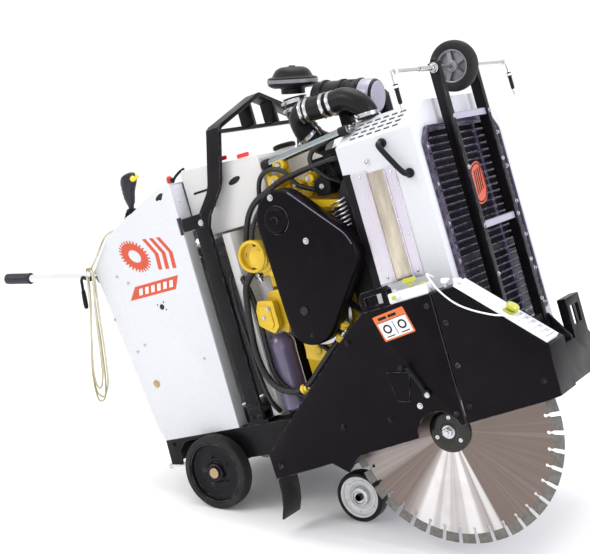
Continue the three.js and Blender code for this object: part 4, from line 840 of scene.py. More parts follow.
for s in (-1, 1):
    dk.box(990.3, 992, *sorted((s * 180, s * 213)), 371, 571)
make("radiator_cross_strip", dk, "dark", "chassis", ())
# slanted oval badge in the middle of the guard, with plain bars on it
bd = Shape()
ov = []
for i in range(72):
    t = 2 * math.pi * i / 72
    c, s_ = math.cos(t), math.sin(t)
    u = abs(c) ** 0.72 * (1 if c >= 0 else -1) * 47; v = abs(s_) ** 0.72 * (1 if s_ >= 0 else -1) * 62
    ov.append((u, 788 + v + u * 0.22))
bd.plate(ov, 1009.0, 1011.6, (), 0, "yz")
make("badge_plate", bd, "orange", "chassis", (), bevel=0.8)
bd2 = Shape()
mid = lambda k: [((a) * k, 788 + (b - 788) * k) for a, b in ov]
inner = mid(0.86); bd2.plate(mid(0.93), 1011.6, 1012.2, [inner], 0, "yz")
for j, (u0, u1) in enumerate(((-26, -20), (-12, -6), (2, 8), (16, 22))):
    bd2.plate([(u0, 752 + j * 5), (u1, 754 + j * 5), (u1 + 9, 826 + j * 3), (u0 + 9, 824 + j * 3)], 1011.6, 1012.2, (), 0, "yz")
make("badge_marks", bd2, "frame", "chassis", ())
bs = Shape()
bs.box(1000, 1009.2, -30, 30, 770, 776); bs.box(1000, 1009.2, -30, 30, 800, 806)
make("badge_stay", bs, "grille", "chassis", ())

# stainless side panel with a recessed strip
sp = Shape()
for x0, x1 in ((767.5, 818), (882, 913.5)):
    o = rounded([(x0, 580), (x1, 580), (x1, 893 if x0 > 850 else 908), (x0, 908)], 3, 3)
    sp.plate(o, -303.2, -300.4)
sp.plate([(818, 580), (822, 580), (822, 905), (818, 907)], -306, -300.4)
sp.plate([(878, 580), (882, 580), (882, 895), (878, 897)], -306, -300.4)
make("side_panel_bands", sp, "stainless", "chassis", "side_panel", bevel=0.6)
rs = Shape()
rs.box(822, 878, -301.4, -300.4, 580, 900)
strip = material("recess_strip", (0.52, 0.46, 0.38), 0.16, metal=1, vary=0.45, scale=4.5, streak=(4, 1, 0.9), bump=0.03, bscale=60)
K["strip"] = strip
make("side_panel_recess", rs, "strip", "chassis", ())
bk = Shape()
bk.plate([(742.5, 566), (767, 566), (767, 912), (742.5, 915)], -301.6, -300.2)
make("housing_edge_strip", bk, "frame", "chassis", (), bevel=0.4)
sb = Shape()
for x, z in ((796, 893), (796, 596), (898, 884), (900, 702), (898, 596)):
    sb.lathe((x, -303, z), (0, -1, 0), [(0, 0), (4.6, 0), (4.2, 1.8), (2.4, 2.6), (0, 2.8)], 24)
sb.lathe((833, -300.6, 932), (0, -1, 0), [(0, 0), (7, 0), (7, 2), (5, 3.2), (5, 9), (4, 10.5), (0, 11)], 32)
make("side_panel_screws", sb, "zinc", "chassis", ())

hh = Shape()
hp = smooth_path([(896, -302, 970), (896, -320, 970), (898.5, -330, 965.5), (904, -334, 956), (926, -336, 918), (948, -334, 881), (953.5, -330, 871.5), (956, -320, 867), (956, -302, 867)], 7)
hh.tube(hp, 8.2, 28)
hh.lathe((896, -300.8, 970), (0, -1, 0), [(0, 0), (14, 0), (14, 5), (12, 8), (8, 9), (0, 9)], 36)
hh.lathe((956, -300.8, 867), (0, -1, 0), [(0, 0), (14, 0), (14, 5), (12, 8), (8, 9), (0, 9)], 36)
make("hood_pull", hh, "plastic", "chassis", "hood_handle", sharp=50)
# rows of short louvre slits on the hood's near chamfer: flat dark quads paint the shade in the openings, and white
# tongues lean over them
lv = Shape()
ch0, ch1 = Vector((0, -300, 995)), Vector((0, -170, 1060))
cd = (ch1 - ch0).normalized(); cn = Vector((0, -cd.z, cd.y))
for i in range(6):
    for j in range(4):
        p = ch0 + cd * (28 + j * 27) + Vector((792 + i * 29, 0, 0)) + cn * 0.25
        a = Vector((9.5, 0, 0)); b = cd * 2.6
        lv.loft([[p - a - b, p + a - b, p + a + b, p - a + b], [p - a - b + cn * 0.4, p + a - b + cn * 0.4, p + a + b + cn * 0.4, p - a + b + cn * 0.4]])
make("hood_slit_shade", lv, "dark", "chassis", ())
lh = Shape()
for i in range(6):
    for j in range(4):
        p = ch0 + cd * (28 + j * 27 + 3.6) + Vector((792 + i * 29, 0, 0)) + cn * 0.2
        a = Vector((10.5, 0, 0))
        lh.loft([[p - a, p + a, p + a + cd * 3.2, p - a + cd * 3.2], [p - a * 0.9 + cn * 3.0 - cd * 1.4, p + a * 0.9 + cn * 3.0 - cd * 1.4, p + a * 0.95 + cd * 2.8 + cn * 0.6, p - a * 0.95 + cd * 2.8 + cn * 0.6]])
make("hood_louvres", lh, "white", "chassis", (), bevel=0.5)

# ------------------------------------------------------------------ blade guard fittings
gy = -440
gd = Shape()
hatch = rounded([(788, 350), (862, 337), (838, 254), (800, 262)], 7, 4)
gd.plate(offset(hatch, 0), gy - 3.2, gy + 0.4)
make("guard_hatch", gd, "guard", "chassis", (), bevel=1.0)
gbolts = Shape()
for x, z in ((600, 215), (760, 214), (968, 505), (968, 200), (340, 130), (690, 452)):
    gbolts.bolt((x, gy, z), (0, -1, 0), 10 if x > 800 else 12, 5, 8 if x > 800 else 9)
make("guard_bolts", gbolts, "frame", "chassis", (), bevel=0.4)
hb = Shape()
hb.bolt((901, gy - 11, 267), (0, -1, 0), 10, 4, 8)
hb.bolt((864, gy, 239), (0, -1, 0), 10, 5, 9)
make("guard_hatch_bolts", hb, "zinc", "chassis", ())
lt = Shape()
lt.cyl((897, -440.6, 270), (897, -452, 270), 11, None, 32, 0, 1)
lt.tube(smooth_path([(895, -449, 273), (886, -450.5, 300), (870, -451, 334), (862, -452, 349), (858, -459, 356), (857, -470, 358)], 5), [5.2] * 10 + [5.8] * 16, 20)
lt.lathe((857, -468, 358), (0, -1, 0), [(0, 0), (7, 0), (8, 3), (8, 9), (6, 12), (0, 13)], 28)
make("latch_handle", lt, "plastic", "guard_latch", "guard_latch", sharp=50)
# generic two-part label: an orange band, and a white field with two ovals and a divider
lq = [(792, 506), (895, 520), (916, 445), (814, 432)]


def on_quad(u, v):
    a, b, c, d = [Vector(p) for p in lq]
    return tuple((a * (1 - u) + b * u) * (1 - v) + (d * (1 - u) + c * u) * v)


def quad(u0, u1, v0, v1):
    return [on_quad(u0, v0), on_quad(u1, v0), on_quad(u1, v1), on_quad(u0, v1)]


lab = Shape(); lab.plate(rounded(quad(0, 1, 0, 1), 4, 3), gy - 0.9, gy + 0.1); make("label_field", lab, "labelorange", "chassis", ())
lab = Shape(); lab.plate(quad(0.05, 0.95, 0.30, 0.94), gy - 1.2, gy - 0.8); make("label_white", lab, "decalwhite", "chassis", ())
lab = Shape()
lab.plate(quad(0.05, 0.95, 0.28, 0.30), gy - 1.4, gy - 0.8)
lab.plate(quad(0.49, 0.51, 0.36, 0.86), gy - 1.4, gy - 0.8)
for cu, w in ((0.26, 0.13), (0.74, 0.13)):
    out = [on_quad(cu + w * math.cos(2 * math.pi * i / 28), 0.58 + w * 1.35 * math.sin(2 * math.pi * i / 28)) for i in range(28)]
    inn = [on_quad(cu + w * 0.62 * math.cos(2 * math.pi * i / 28), 0.58 + w * 0.84 * math.sin(2 * math.pi * i / 28)) for i in range(28)]
    lab.plate(out, gy - 1.4, gy - 0.8, [inn])
    lab.plate(quad(cu - 0.13, cu + 0.13, 0.84, 0.88), gy - 1.4, gy - 0.8)
for k, (u0, u1) in enumerate(((0.14, 0.40), (0.46, 0.72))):
    lab.plate(quad(u0, u1, 0.10, 0.20), gy - 1.4, gy - 0.8)
make("label_marks", lab, "plastic", "chassis", ())
# a dark joint strip at the seam on the guard
sm = Shape()
sm.box(986.5, 989.5, gy - 0.9, gy + 0.5, 170, 536)
make("guard_seam", sm, "dark", "chassis", ())
hs = Shape()
for z in (215, 330, 450):
    hs.bolt((1012, gy, z), (0, -1, 0), 9, 4, 8)
hs.bolt((1240, gy, 250), (0, -1, 0), 9, 4, 8)
make("guard_front_bolts", hs, "frame", "guard_front", (), bevel=0.4)

# ------------------------------------------------------------------ water gear
wm = Shape()
wm.plate(rounded([(858, 530.6), (984, 537.6), (984, 566), (858, 560)], 5, 4), -436, -396)
wm.cyl((886, -430, 548), (886, -452, 548), 9, None, 28, 0, 1.2)
wm.cyl((980, -416, 552), (989, -416, 552), 8, None, 24, 0, 1)
for x in (864, 975):
    wm.bolt((x, -404, 561), (0, 0, 1), 9, 4, 7)
make("water_block", wm, "decalwhite", "chassis", "water_manifold", bevel=1.5)
slope = lambda t, k: (1058 + 221 * t + k * 0.663, 541 - 200 * t + k * 0.749)
wt = Shape()
P_ = lambda t0, t1, k0, k1: [slope(t0, k0), slope(t1, k0), slope(t1, k1), slope(t0, k1)]
wt.plate(P_(0, 0.985, 0.8, 3.4), -438, -368)
wt.plate(P_(0, 0.985, 3, 13), -438, -434); wt.plate(P_(0, 0.985, 3, 13), -372, -368)
wt.plate(P_(0, 0.6, 3, 11.5), -434.5, -371.5)
for i in range(5):
    t0 = 0.63 + i * 0.07
    wt.plate(P_(t0, t0 + 0.028, 3, 10), -434.5, -371.5)
wt.plate(P_(0.955, 0.985, 3, 13), -434.5, -371.5)
make("water_channel", wt, "decalwhite", "guard_front", "water_tube", bevel=0.9)
wy = Shape()
wy.plate(P_(0.50, 0.60, 12, 17), -430, -390)
c = slope(0.55, 17); n = (0.663, 0, 0.749)
wy.lathe((c[0], -410, c[1]), n, [(0, 0), (6, 0), (6, 5), (17, 6), (18.5, 9), (18.5, 14), (16, 17), (0, 18)], 36)
make("water_clamp_knob", wy, "lime", "guard_front", (), bevel=0.8)
wk = Shape()
for x, z, b in ((1031, 548, 0), (1066, 541, 0)):
    wk.lathe((x if b == 0 else x, -420, z), (0.2, 0, 1), [(0, -6), (5, -6), (5, 5), (12, 6), (13, 9), (13, 15), (11, 18), (0, 19)], 32)
make("water_white_knobs", wk, "decalwhite", "guard_front", ())
ky = Shape()
ky.cyl((925, -416, 564), (925, -416, 577), 6, None, 24)
ky.plate(rounded([(903, 576), (947, 576), (943, 590), (907, 590)], 5, 4), -423, -409)
make("water_lever", ky, "lime", "water_valve_knob", "water_valve_knob", bevel=2)
ky = Shape()
ky.lathe((962, -416, 560), (0, 0, 1), [(0, 0), (7, 0), (7, 3), (10.5, 4), (10.5, 8), (9, 9.5), (0, 10)], 32)
ky.cyl((886, -451, 548), (886, -459, 548), 6, None, 20, 0, 1)
make("water_cap", ky, "lime", "chassis", ())

# ------------------------------------------------------------------ front pointer
px0, pz0 = POINTER_PIVOT
pw = Shape()
pw.latheY(px0, POINTER_TOP, [(49.5, -16), (56, -18), (66, -18.2), (72, -15), (75.4, -9), (76, 0), (75.4, 9), (72, 15), (66, 18.2), (56, 18), (49.5, 16), (49.5, -16)], 96, 0)
pw.latheY(px0, POINTER_TOP, [(49.6, -15.4), (49.6, 15.4), (47, 17), (44.5, 16), (43.2, 12.5), (43, -12.5), (44.5, -16), (47, -17), (49.6, -15.4)], 96, 1)
pw.latheY(px0, POINTER_TOP, [(6, -24), (13, -24), (15, -22.5), (18, -20), (19, -15), (19, 15), (18, 20), (15, 22.5), (13, 24), (6, 24), (6, -24)], 56, 1)
for i in range(5):
    a = math.radians(72 * i + 18)
    c_, s_ = math.cos(a), math.sin(a)
    for sy_ in (-1, 1):
        pw.beam((px0 + 15 * c_, sy_ * 12, POINTER_TOP + 15 * s_), (px0 + 45.5 * c_, sy_ * 9.5, POINTER_TOP + 45.5 * s_), 4.6, 12.5, 1, (0, 1, 0))
pw.latheY(px0, POINTER_TOP, [(18.5, -2), (44, -1.2), (44, 1.2), (18.5, 2), (18.5, -2)], 64, 1)
make("sight_wheel", pw, ["tyre", "greyring"], "pointer_wheel", "pointer_wheel", bevel=0)
pr = Shape()
pr.cyl((px0, -392, POINTER_TOP), (px0, 392, POINTER_TOP), 5, None, 24, 0, 0.6)
for s in (-1, 1):
    pr.tube(smooth_path([(px0, s * 384, POINTER_TOP), (px0, s * 391, POINTER_TOP - 1), (px0, s * 392.5, POINTER_TOP - 9), (px0, s * 392.5, POINTER_TOP - 40)], 6), 4, 20)
    pr.tube([(px0, s * 392.5, POINTER_TOP - 90), (px0, s * 392.5, POINTER_TOP - 104)], 3.2, 16)
    pr.cyl((px0, s * 392.5, POINTER_TOP - 104), (px0, s * 392.5, POINTER_TOP - 112), 3.2, 0.8, 16)
pr_ob = make("sight_rod", pr, "zinc", "pointer_rod", "pointer_rod")
pt = Shape()
for s in (-1, 1):
    pt.lathe((px0, s * 392.5, POINTER_TOP - 36), (0, 0, -1), [(0, 0), (6, 0), (7.2, 2), (7.2, 14), (6, 16), (6, 50), (5, 54), (3.4, 56), (0, 56)], 32)
make("sight_tips", pt, "plastic", "pointer_rod", ())
pt = Shape()
for s in (-1, 1):
    pt.lathe((px0, s * 392.5, POINTER_TOP - 40), (0, 0, -1), [(7, 0), (8, 0.6), (8, 7), (7, 7.6), (7, 0)], 32)
    pt.lathe((px0, s * 370, POINTER_TOP), (0, s, 0), [(5, 0), (9, 0), (9.5, 1), (9.5, 11), (9, 12), (5, 12), (5, 0)], 28)
make("sight_tip_caps", pt, "decalwhite", "pointer_rod", ())
pf = Shape()
for s in (-1, 1):
    pf.lathe((px0, s * 135.4, POINTER_TOP), (0, s, 0), [(6.4, 0), (15, 0), (15, 3), (13, 4.2), (12, 10), (6.4, 10.5), (6.4, 0)], 36)
    for z in (395, 520, 665, 840, 992):
        pf.bolt((px0 + 16.2, s * 125, z), (1, 0, 0), 9, 4, 7)
make("sight_frame_bolts", pf, "zinc", "pointer_frame", ())
pk = Shape()
pk.lathe((px0, -125, POINTER_TOP + 21), (0, 0, 1), [(0, 0), (9, 0), (9, 3), (7, 5), (0, 5.4)], 28)
make("sight_cap", pk, "plastic", "pointer_frame", ())
# painted highlight: thin light violet-grey plates on the black cross bars' front and top faces
pk = Shape()
for z in (655, 982):
    pk.box(px0 + 8.1, px0 + 9.3, -114.5, 114.5, z + 0.8, z + 19.2)
    pk.box(px0 - 11, px0 + 8.1, -114.5, 114.5, z + 20, z + 20.8)
make("sight_cross_highlights", pk, "canister", "pointer_frame", ())
pk = Shape()
pk.lathe((px0, -147, POINTER_TOP), (0, -1, 0), [(5.6, 0), (8.2, 0), (8.2, 6), (7.4, 7), (7.4, 80), (6.8, 81), (5.6, 81), (5.6, 0)], 36)
make("sight_rod_guide", pk, "zinc", "pointer_frame", ())

# ------------------------------------------------------------------ handles
HR = math.radians(11.2)
on_handle = lambda d, y=-262, up=0: (-300 - math.cos(HR) * d, y, 828 + math.sin(HR) * d + up)
for s, side in ((-1, "right"), (1, "left")):
    y = s * 262
    hb_ = Shape()
    a, b = Vector(on_handle(-130, y)), Vector(on_handle(370, y))
    hb_.cyl(a, b, 14, None, 48, 0, 1)
    make("handle_tube_" + side, hb_, "chrome", "handlebar_" + side, "handlebar_" + side)
    g = Shape()
    d = (Vector(on_handle(10, y)) - Vector(on_handle(0, y))).normalized()
    prof = [(14.05, 356), (18.6, 356), (20.5, 358), (20.5, 361), (18.6, 363)]
    k = 366
    while k < 462:
        prof += [(17.6, k), (19.3, k + 1.6), (19.3, k + 4.6), (17.6, k + 6)]
        k += 8
    prof += [(17.8, 467), (19.3, 469), (19, 474), (16, 477), (0, 478)]
    g.lathe(on_handle(0, y), d, prof, 48)
    make("handle_grip_" + side, g, "grip", "handlebar_" + side, (), sharp=60)
    lv_ = Shape()
    yy = s * 284.6
    lv_.cyl((-338, yy, 836), (-338, s * 300, 836), 9, None, 28, 0, 1)
    lv_.tube(smooth_path([(-338, s * 298, 836), (-352, s * 299, 840), (-368, s * 299, 846), (-377, s * 298.5, 840), (-381, s * 298, 824), (-387, s * 298, 784)], 6), [6.5] * 14 + [5.2] * 17, 24)
    lv_.lathe((-384, s * 298, 804), (-0.13, 0, -1), [(0, 0), (6.2, 0), (7.5, 6), (8.2, 30), (8.2, 52), (7, 61), (4, 64.5), (0, 65)], 32)
    make("lock_lever_" + side, lv_, "plastic", "clamp_lever_" + side, "clamp_lever_" + side, sharp=50)
    kb = Shape()
    p = Vector(on_handle(6, y, 14))
    kb.lathe(p + Vector((0, 0, 14)), (0, 0, 1), [(0, 0), (9, 0), (9, 4), (7, 5.6), (0, 6)], 28)
    kb.lathe(on_handle(17, y), d, [(14.6, 0), (22, 0), (22.6, 0.6), (22.6, 3.4), (22, 4), (14.6, 4), (14.6, 0)], 48)
    make("handle_socket_ring_" + side, kb, "frame", "chassis", ())

# ------------------------------------------------------------------ joystick with its boot
DS = math.atan2(86, 235)
dash = lambda t, y, k=0: Vector((-207 + 235 * t - math.sin(DS) * k, y, 954 + 86 * t + math.cos(DS) * k))
nrm = Vector((-math.sin(DS), 0, math.cos(DS)))
bt = Shape()
base = dash(0.447, -262, 0)
prof = [(0, 0.6), (33, 0.6), (34, 1.6), (34, 4.5), (32.5, 6)]
for i in range(4):
    r0 = 29.5 - i * 3.6
    prof += [(r0 - 1.4, 7 + i * 4.2), (r0 + 0.6, 8.6 + i * 4.2), (r0 + 0.4, 10 + i * 4.2), (r0 - 2.6, 11 + i * 4.2)]
prof += [(15.5, 24.5), (12.5, 27), (11.5, 30), (0, 30)]
bt.lathe(base, nrm, prof, 64)
make("stick_boot", bt, "rubber", "chassis", (), sharp=55)
br = Shape()
br.lathe(base, nrm, [(33, 0.4), (37, 0.4), (37, 2.4), (36, 3.4), (34.2, 3.4), (33, 0.4)], 64)
make("stick_boot_collar", br, "decalwhite", "chassis", ())
jk = Shape()
foot = dash(0.447, -262, 29)
jk.cyl((foot.x + 10, -262, 1021), (-97, -262, 1042), 8.5, 12, 28, 0)
sections = smooth_path([(1034, -97, 13.6), (1052, -96, 18.6), (1066, -94, 21.2), (1080, -90.5, 24.4), (1096, -84, 30.6), (1112, -80, 33.6), (1126, -77, 28), (1133, -74, 18), (1135, -73, 10)], 5)
loops = []
for q in sections:
    z_, xc, rx = q
    lp = []
    for i in range(44):
        t = 2 * math.pi * i / 44
        a, b = math.cos(t), math.sin(t)
        # finger swells along the operator's side of the grip
        sw = 1.0 + (0.05 * math.sin((z_ - 1040) / 16 * 2 * math.pi) * max(0, -a) if 1040 < z_ < 1100 else 0)
        lp.append((xc + rx * a * sw, -262 + min(rx, 25) * 0.85 * b, z_ + rx * a * 0.06))
    loops.append(lp)
jk.loft(loops)
make("stick_grip", jk, "grip", "joystick", "joystick", sharp=70)
jb = Shape()
FACE = Vector((0.9487, 0, 0.3162))
fc = Vector((-82, -262, 1104))
for dy, dz in ((-7.6, -1.5), (7.6, 2.5)):
    jb.lathe(fc + FACE * 26 + Vector((0, dy, dz)), FACE, [(0, 0), (9.6, 0), (10, 2), (10, 8), (8.6, 11), (5, 12.8), (0, 13.2)], 36)
jb.cyl(fc + FACE * 17.5, fc + FACE * 30, 8.4, 8, 28, 0, 0.5)
make("stick_button", jb, "yellow_clean", "joystick_button", "joystick_button")
sbn = Shape()
sp0 = dash(0.34, 150, 0)
sbn.lathe(sp0, nrm, [(0, -9), (8.8, -9), (8.8, 14), (14, 15), (20, 17), (20.5, 20), (20, 27), (17, 30.5), (8, 32), (0, 32.3)], 64)
make("stop_mushroom", sbn, "red", "stop_button", "stop_button")
sr = Shape()
sr.lathe(sp0, nrm, [(10.6, 0.4), (27, 0.4), (27, 1.6), (25.5, 2.6), (17, 2.6), (15.5, 4.6), (10.6, 4.6), (10.6, 0.4)], 64)
make("stop_ring", sr, "yellow_clean", "chassis", ())
th = lambda k, dx=0: dash(0.55, -60, k) + Vector((dx, 0, 0))
tl = Shape()
hub = dash(0.55, -60, 14)
tl.cyl((hub.x, -67, hub.z), (hub.x, -53, hub.z), 8, None, 32, 0, 1)
tl.tube([th(14), th(84, 30)], 4.4, 20)
make("throttle_arm", tl, "zinc", "throttle_lever", "throttle_lever")
tk = Shape()
q0, q1 = th(76, 27), th(103, 38)
tk.lathe(q0, q1 - q0, [(0, 0), (6, 0), (9.5, 5), (10.5, 14), (10.2, 22), (8, 27), (4, 29.5), (0, 30)], 40)
make("throttle_knob", tk, "red", "throttle_lever", ())
# gauges and a switch row on the dash
gauge = Shape(); dial = Shape()
for y in (-170, 20, 80):
    p = dash(0.66, y, 0.4)
    gauge.lathe(p, nrm, [(0, 0), (26, 0), (26, 5), (24.5, 6.5), (22.5, 6.5), (22, 4.5), (0, 4.5)], 56)
    dial.lathe(p + nrm * 4.6, nrm, [(0, 0), (21.8, 0), (21.8, 0.4), (0, 0.4)], 40)
for y in (-120, -95, 215, 240):
    gauge.lathe(dash(0.4, y, 0.4), nrm, [(0, 0), (9, 0), (9, 3), (5, 4), (4, 14), (5.2, 17), (3, 20), (0, 20)], 28)
make("dash_gauges", gauge, "plastic", "chassis", ())
make("dash_dials", dial, "decalwhite", "chassis", ())
# the small black lever near the dash's front, and the bent rod over the tank
sl = Shape()
sl.lathe((60, -215, 1043), (0.1, -0.1, 1), [(0, 0), (9, 0), (9, 5), (4, 7), (3.4, 22), (7, 25), (8, 31), (5, 35), (0, 36)], 28)
sl.tube(smooth_path([(60, -215, 1062), (80, -222, 1075), (110, -226, 1088), (128, -226, 1092)], 5), 4.5, 16)
make("dash_small_lever", sl, "plastic", "chassis", ())
# ------------------------------------------------------------------ console: screws, badge shapes, holes
NY = -300.0
cn_ = Shape()
for x, z in ((132, 992), (-278, 678), (-179, 571), (-218, 554), (53, 483), (-214, 816), (-174, 786)):
    cn_.lathe((x, NY, z), (0, -1, 0), [(0, 0), (5, 0), (4.6, 1.6), (2.6, 2.6), (0, 2.9)], 24)
make("console_screws", cn_, "steel", "chassis", ())
# painted shade: flat dark discs and an oval for the shade inside the console's holes
cn_ = Shape()
for k, (x, z) in enumerate(((-60, 680), (-48, 694), (-45, 668), (-76, 690))):
    cn_.lathe((x, NY - 0.25, z), (0, -1, 0), [(0, 0), (8.6 if k == 0 else 2.6, 0), (8.6 if k == 0 else 2.6, 0.3), (0, 0.3)], 24)
cn_.plate([(58 + 17 * math.cos(t), 1025 + 8 * math.sin(t) + 6 * math.cos(t)) for t in [2 * math.pi * i / 24 for i in range(24)]], NY - 0.6, NY - 0.1)
make("console_hole_shade", cn_, "dark", "chassis", ())
gp = Shape()
gp.lathe((-177, NY, 435), (0, -1, 0), [(0, 0), (13, 0), (13, 1), (11.5, 2.4), (8, 2.8), (7, 2), (0, 2)], 40)
make("console_plug", gp, "amber", "chassis", ())
# a plain device of a toothed disc, chevrons and slanted bars
dec = Shape()
ec, eu = Vector((-61, 858)), Vector((1.0, -0.13)).normalized()
ev = Vector((-0.30, 1)).normalized()


def mark(pts):
    return [tuple(ec + eu * u + ev * v) for u, v in pts]


yy0, yy1 = NY - 0.7, NY - 0.05
teeth = []
for i in range(28):
    for da, rr in ((-3.4, 50), (-2.4, 60), (2.4, 60), (3.4, 50)):
        t = math.radians(i * 360 / 28 + da)
        teeth.append((-52 + rr * math.cos(t), rr * math.sin(t)))
dec.plate(mark(teeth), yy0, yy1, [mark([(-52 + 24 * math.cos(2 * math.pi * i / 36), 24 * math.sin(2 * math.pi * i / 36)) for i in range(36)])])
for u0 in (16, 46, 76):
    dec.plate(mark([(u0, -58), (u0 + 15, -58), (u0 + 34, 0), (u0 + 15, 58), (u0, 58), (u0 + 19, 0)]), yy0, yy1)
make("console_mark", dec, "orange", "chassis", ())
flag = [(-184, 726), (-149, 767), (43, 767), (19, 725)]
dec = Shape(); dec.plate(flag, yy0, yy1); make("console_flag", dec, "orange", "chassis", ())
dec = Shape()
for k in range(6):
    u0 = -140 + k * 27
    dec.plate([(u0, 735), (u0 + 15, 735), (u0 + 22, 757), (u0 + 7, 757)], NY - 1.0, NY - 0.6)
make("console_flag_bars", dec, "decalwhite", "chassis", ())
# the front flange's shadowed face, as a grey box darker than the white panel: painted shade
ffl = Shape()
ffl.box(112.1, 112.7, -296, -253, 245, 898)
make("console_flange_painted_shade", ffl, "flange", "chassis", ())
tb = Shape()
tb.bolt((193, -300, 906), (0, -1, 0), 13, 5, 10)
make("bail_tab_bolt", tb, "zinc", "chassis", (), bevel=0.4)
bb = Shape()
for z in (262, 300):
    bb.bolt((178, NY, z), (0, -1, 0), 12, 5, 10); bb.bolt((204, NY, z), (0, -1, 0), 12, 5, 10)
for x in (-180, -40, 60, 260, 420, 560, 700, 830):
    bb.bolt((x, NY, 178 if x > 20 else 222), (0, -1, 0), 11, 4.5, 9)
make("side_plate_bolts", bb, "frame", "chassis", (), bevel=0.4)
# thin caps, in the frame black, on the bail's two slanting top flats
for s in (-1, 1):
    tf = Shape()
    a, b = (-268 * -s, 1176.5), (-12 * -s, 1269.3)
    tf.loft([[(289, s * 268, 1176.6), (339, s * 268, 1176.6), (339, s * 250, 1187.4), (289, s * 250, 1187.4)], [(289, s * 268, 1177.4), (339, s * 268, 1177.4), (339, s * 250, 1188.2), (289, s * 250, 1188.2)]])
    make("bail_flat_" + ("right" if s < 0 else "left"), tf, "frame", "chassis", ())
rb = Shape()
rb.cyl((-262, -250, 141), (-130, -250, 143), 6.5, None, 28, 0, 1.2)
rb.cyl((-266, -250, 141), (-258, -250, 141), 9, None, 28, 0, 1)
make("rear_pin", rb, "decalwhite", "chassis", ())

# ------------------------------------------------------------------ tank fittings
tc_ = Shape()
tc_.lathe((300, 120, 1060), (0, 0, 1), [(0, 20), (36, 20), (38, 22), (38, 32), (36, 35), (30, 37), (0, 38)], 64)
for i in range(12):
    a = math.radians(30 * i)
    tc_.beam((300 + 38.2 * math.cos(a), 120 + 38.2 * math.sin(a), 1081), (300 + 38.2 * math.cos(a), 120 + 38.2 * math.sin(a), 1093), 3.5, 2.5, 0, (-math.sin(a), math.cos(a), 0))
make("tank_cap", tc_, "plastic", "chassis", ())
tr = Shape()
tr.tube(smooth_path([(222, -246, 944), (232, -248, 985), (252, -249, 1022), (283, -249, 1040)], 7), 4.5, 18)
tr.box(150, 214, -239.8, -237.5, 1000, 1007)
tr.box(236, 262, -239.8, -237.5, 1006, 1012)
make("tank_straps", tr, "frame", "chassis", (), bevel=0.5)
# painted shade: a flat dark oval for the shade inside the tank's recess
oh = Shape()
oh.plate([(319 + 24 * math.cos(t), 1004 + 10 * math.sin(t) + 5 * math.cos(t)) for t in [2 * math.pi * i / 28 for i in range(28)]], -239.0, -238.0)
make("tank_recess_shade", oh, "dark", "chassis", ())
rd = Shape()
for x, z in ((293, 1083), (378, 1071)):
    rd.plate(rounded([(x - 24, z - 6), (x + 22, z - 8), (x + 24, z + 5), (x - 22, z + 7)], 4, 3), -240, -238.2)
make("tank_red_tabs", rd, "red", "chassis", ())

# ------------------------------------------------------------------ hoses, couplings and cables
hA = Shape(); hB = Shape(); fit = Shape(); yel = Shape()
LINES = []


def line(pts, r, dest, steps=8, sides=20):
    p = smooth_path(pts, steps)
    dest.tube(p, r, sides)
    return p


line([(740, -232, 962), (700, -262, 972), (663, -266, 971), (579, -268, 965), (500, -268, 955), (456, -267, 941), (400, -266, 922), (360, -264, 892), (333, -262, 850), (312, -262, 790), (306, -258, 730), (312, -240, 690)], 9.5, hA)
line([(336, -236, 700), (330, -276, 716), (300, -300, 680), (285, -306, 620), (274, -308, 541), (268, -308, 470), (278, -308, 400), (308, -308, 350), (350, -306, 326), (396, -306, 325), (440, -306, 343), (484, -306, 378), (545, -306, 425), (590, -300, 460)], 10.5, hB)
line([(262, -225, 690), (270, -272, 700), (292, -284, 660), (300, -286, 560), (296, -286, 450), (300, -284, 380), (330, -280, 330), (380, -276, 300), (430, -260, 290)], 8.5, hA)
line([(240, -224, 696), (222, -262, 720), (226, -284, 640), (236, -288, 500), (240, -286, 380), (252, -280, 300), (262, -262, 262)], 8, hB)
line([(640, -230, 880), (600, -252, 905), (560, -262, 930), (520, -266, 985), (470, -266, 1000), (430, -262, 980), (400, -254, 905), (392, -244, 840)], 7.5, hA)
line([(688, -235, 905), (660, -262, 930), (628, -268, 985), (640, -262, 1012), (700, -250, 1030)], 7.5, hB)
line([(345, -246, 765), (352, -276, 810), (380, -280, 860), (410, -266, 896), (440, -240, 905)], 7, hA)
for p, d in (((590, -300, 460), (0.78, 0.1, 0.62)), ((405, -306, 326), (1, 0, 0.05)), ((312, -244, 700), (0.1, 0.2, -1)), ((430, -262, 291), (1, 0.3, -0.2)), ((262, -270, 698), (-0.1, 1, 0))):
    d = Vector(d).normalized()
    fit.lathe(Vector(p) - d * 8, d, [(0, 0), (10.5, 0), (11.5, 2), (11.5, 14), (10, 16), (13, 16.5), (13, 24), (8, 25), (8, 34), (0, 34)], 24)
make("hoses_a", hA, "hose", "chassis", (), sharp=60)
make("hoses_b", hB, "hose", "chassis", (), sharp=60)
make("hose_fittings", fit, "zinc", "chassis", ())
for p, d in (((612, -302, 497), (-0.55, 0, -0.83)), ((590, -302, 462), (-0.7, 0, -0.7)), ((402, -308, 324), (0.9, 0, 0.1))):
    d = Vector(d).normalized()
    yel.lathe(p, d, [(0, 0), (14, 0), (15.5, 2), (15.5, 9), (14, 11), (12, 11.5), (12, 20), (0, 20)], 32)
make("hose_couplings", yel, "yellow_clean", "chassis", ())
op = Shape()
op.plate(rounded([(428, 458), (522, 447), (508, 400), (470, 392), (419, 410)], 6, 4), -268, -256)
op.lathe((470, -268, 428), (0, -1, 0), [(0, 0), (13, 0), (13, 4), (8, 6), (0, 6)], 28)
make("drain_bracket", op, "yellow", "chassis", (), bevel=2)
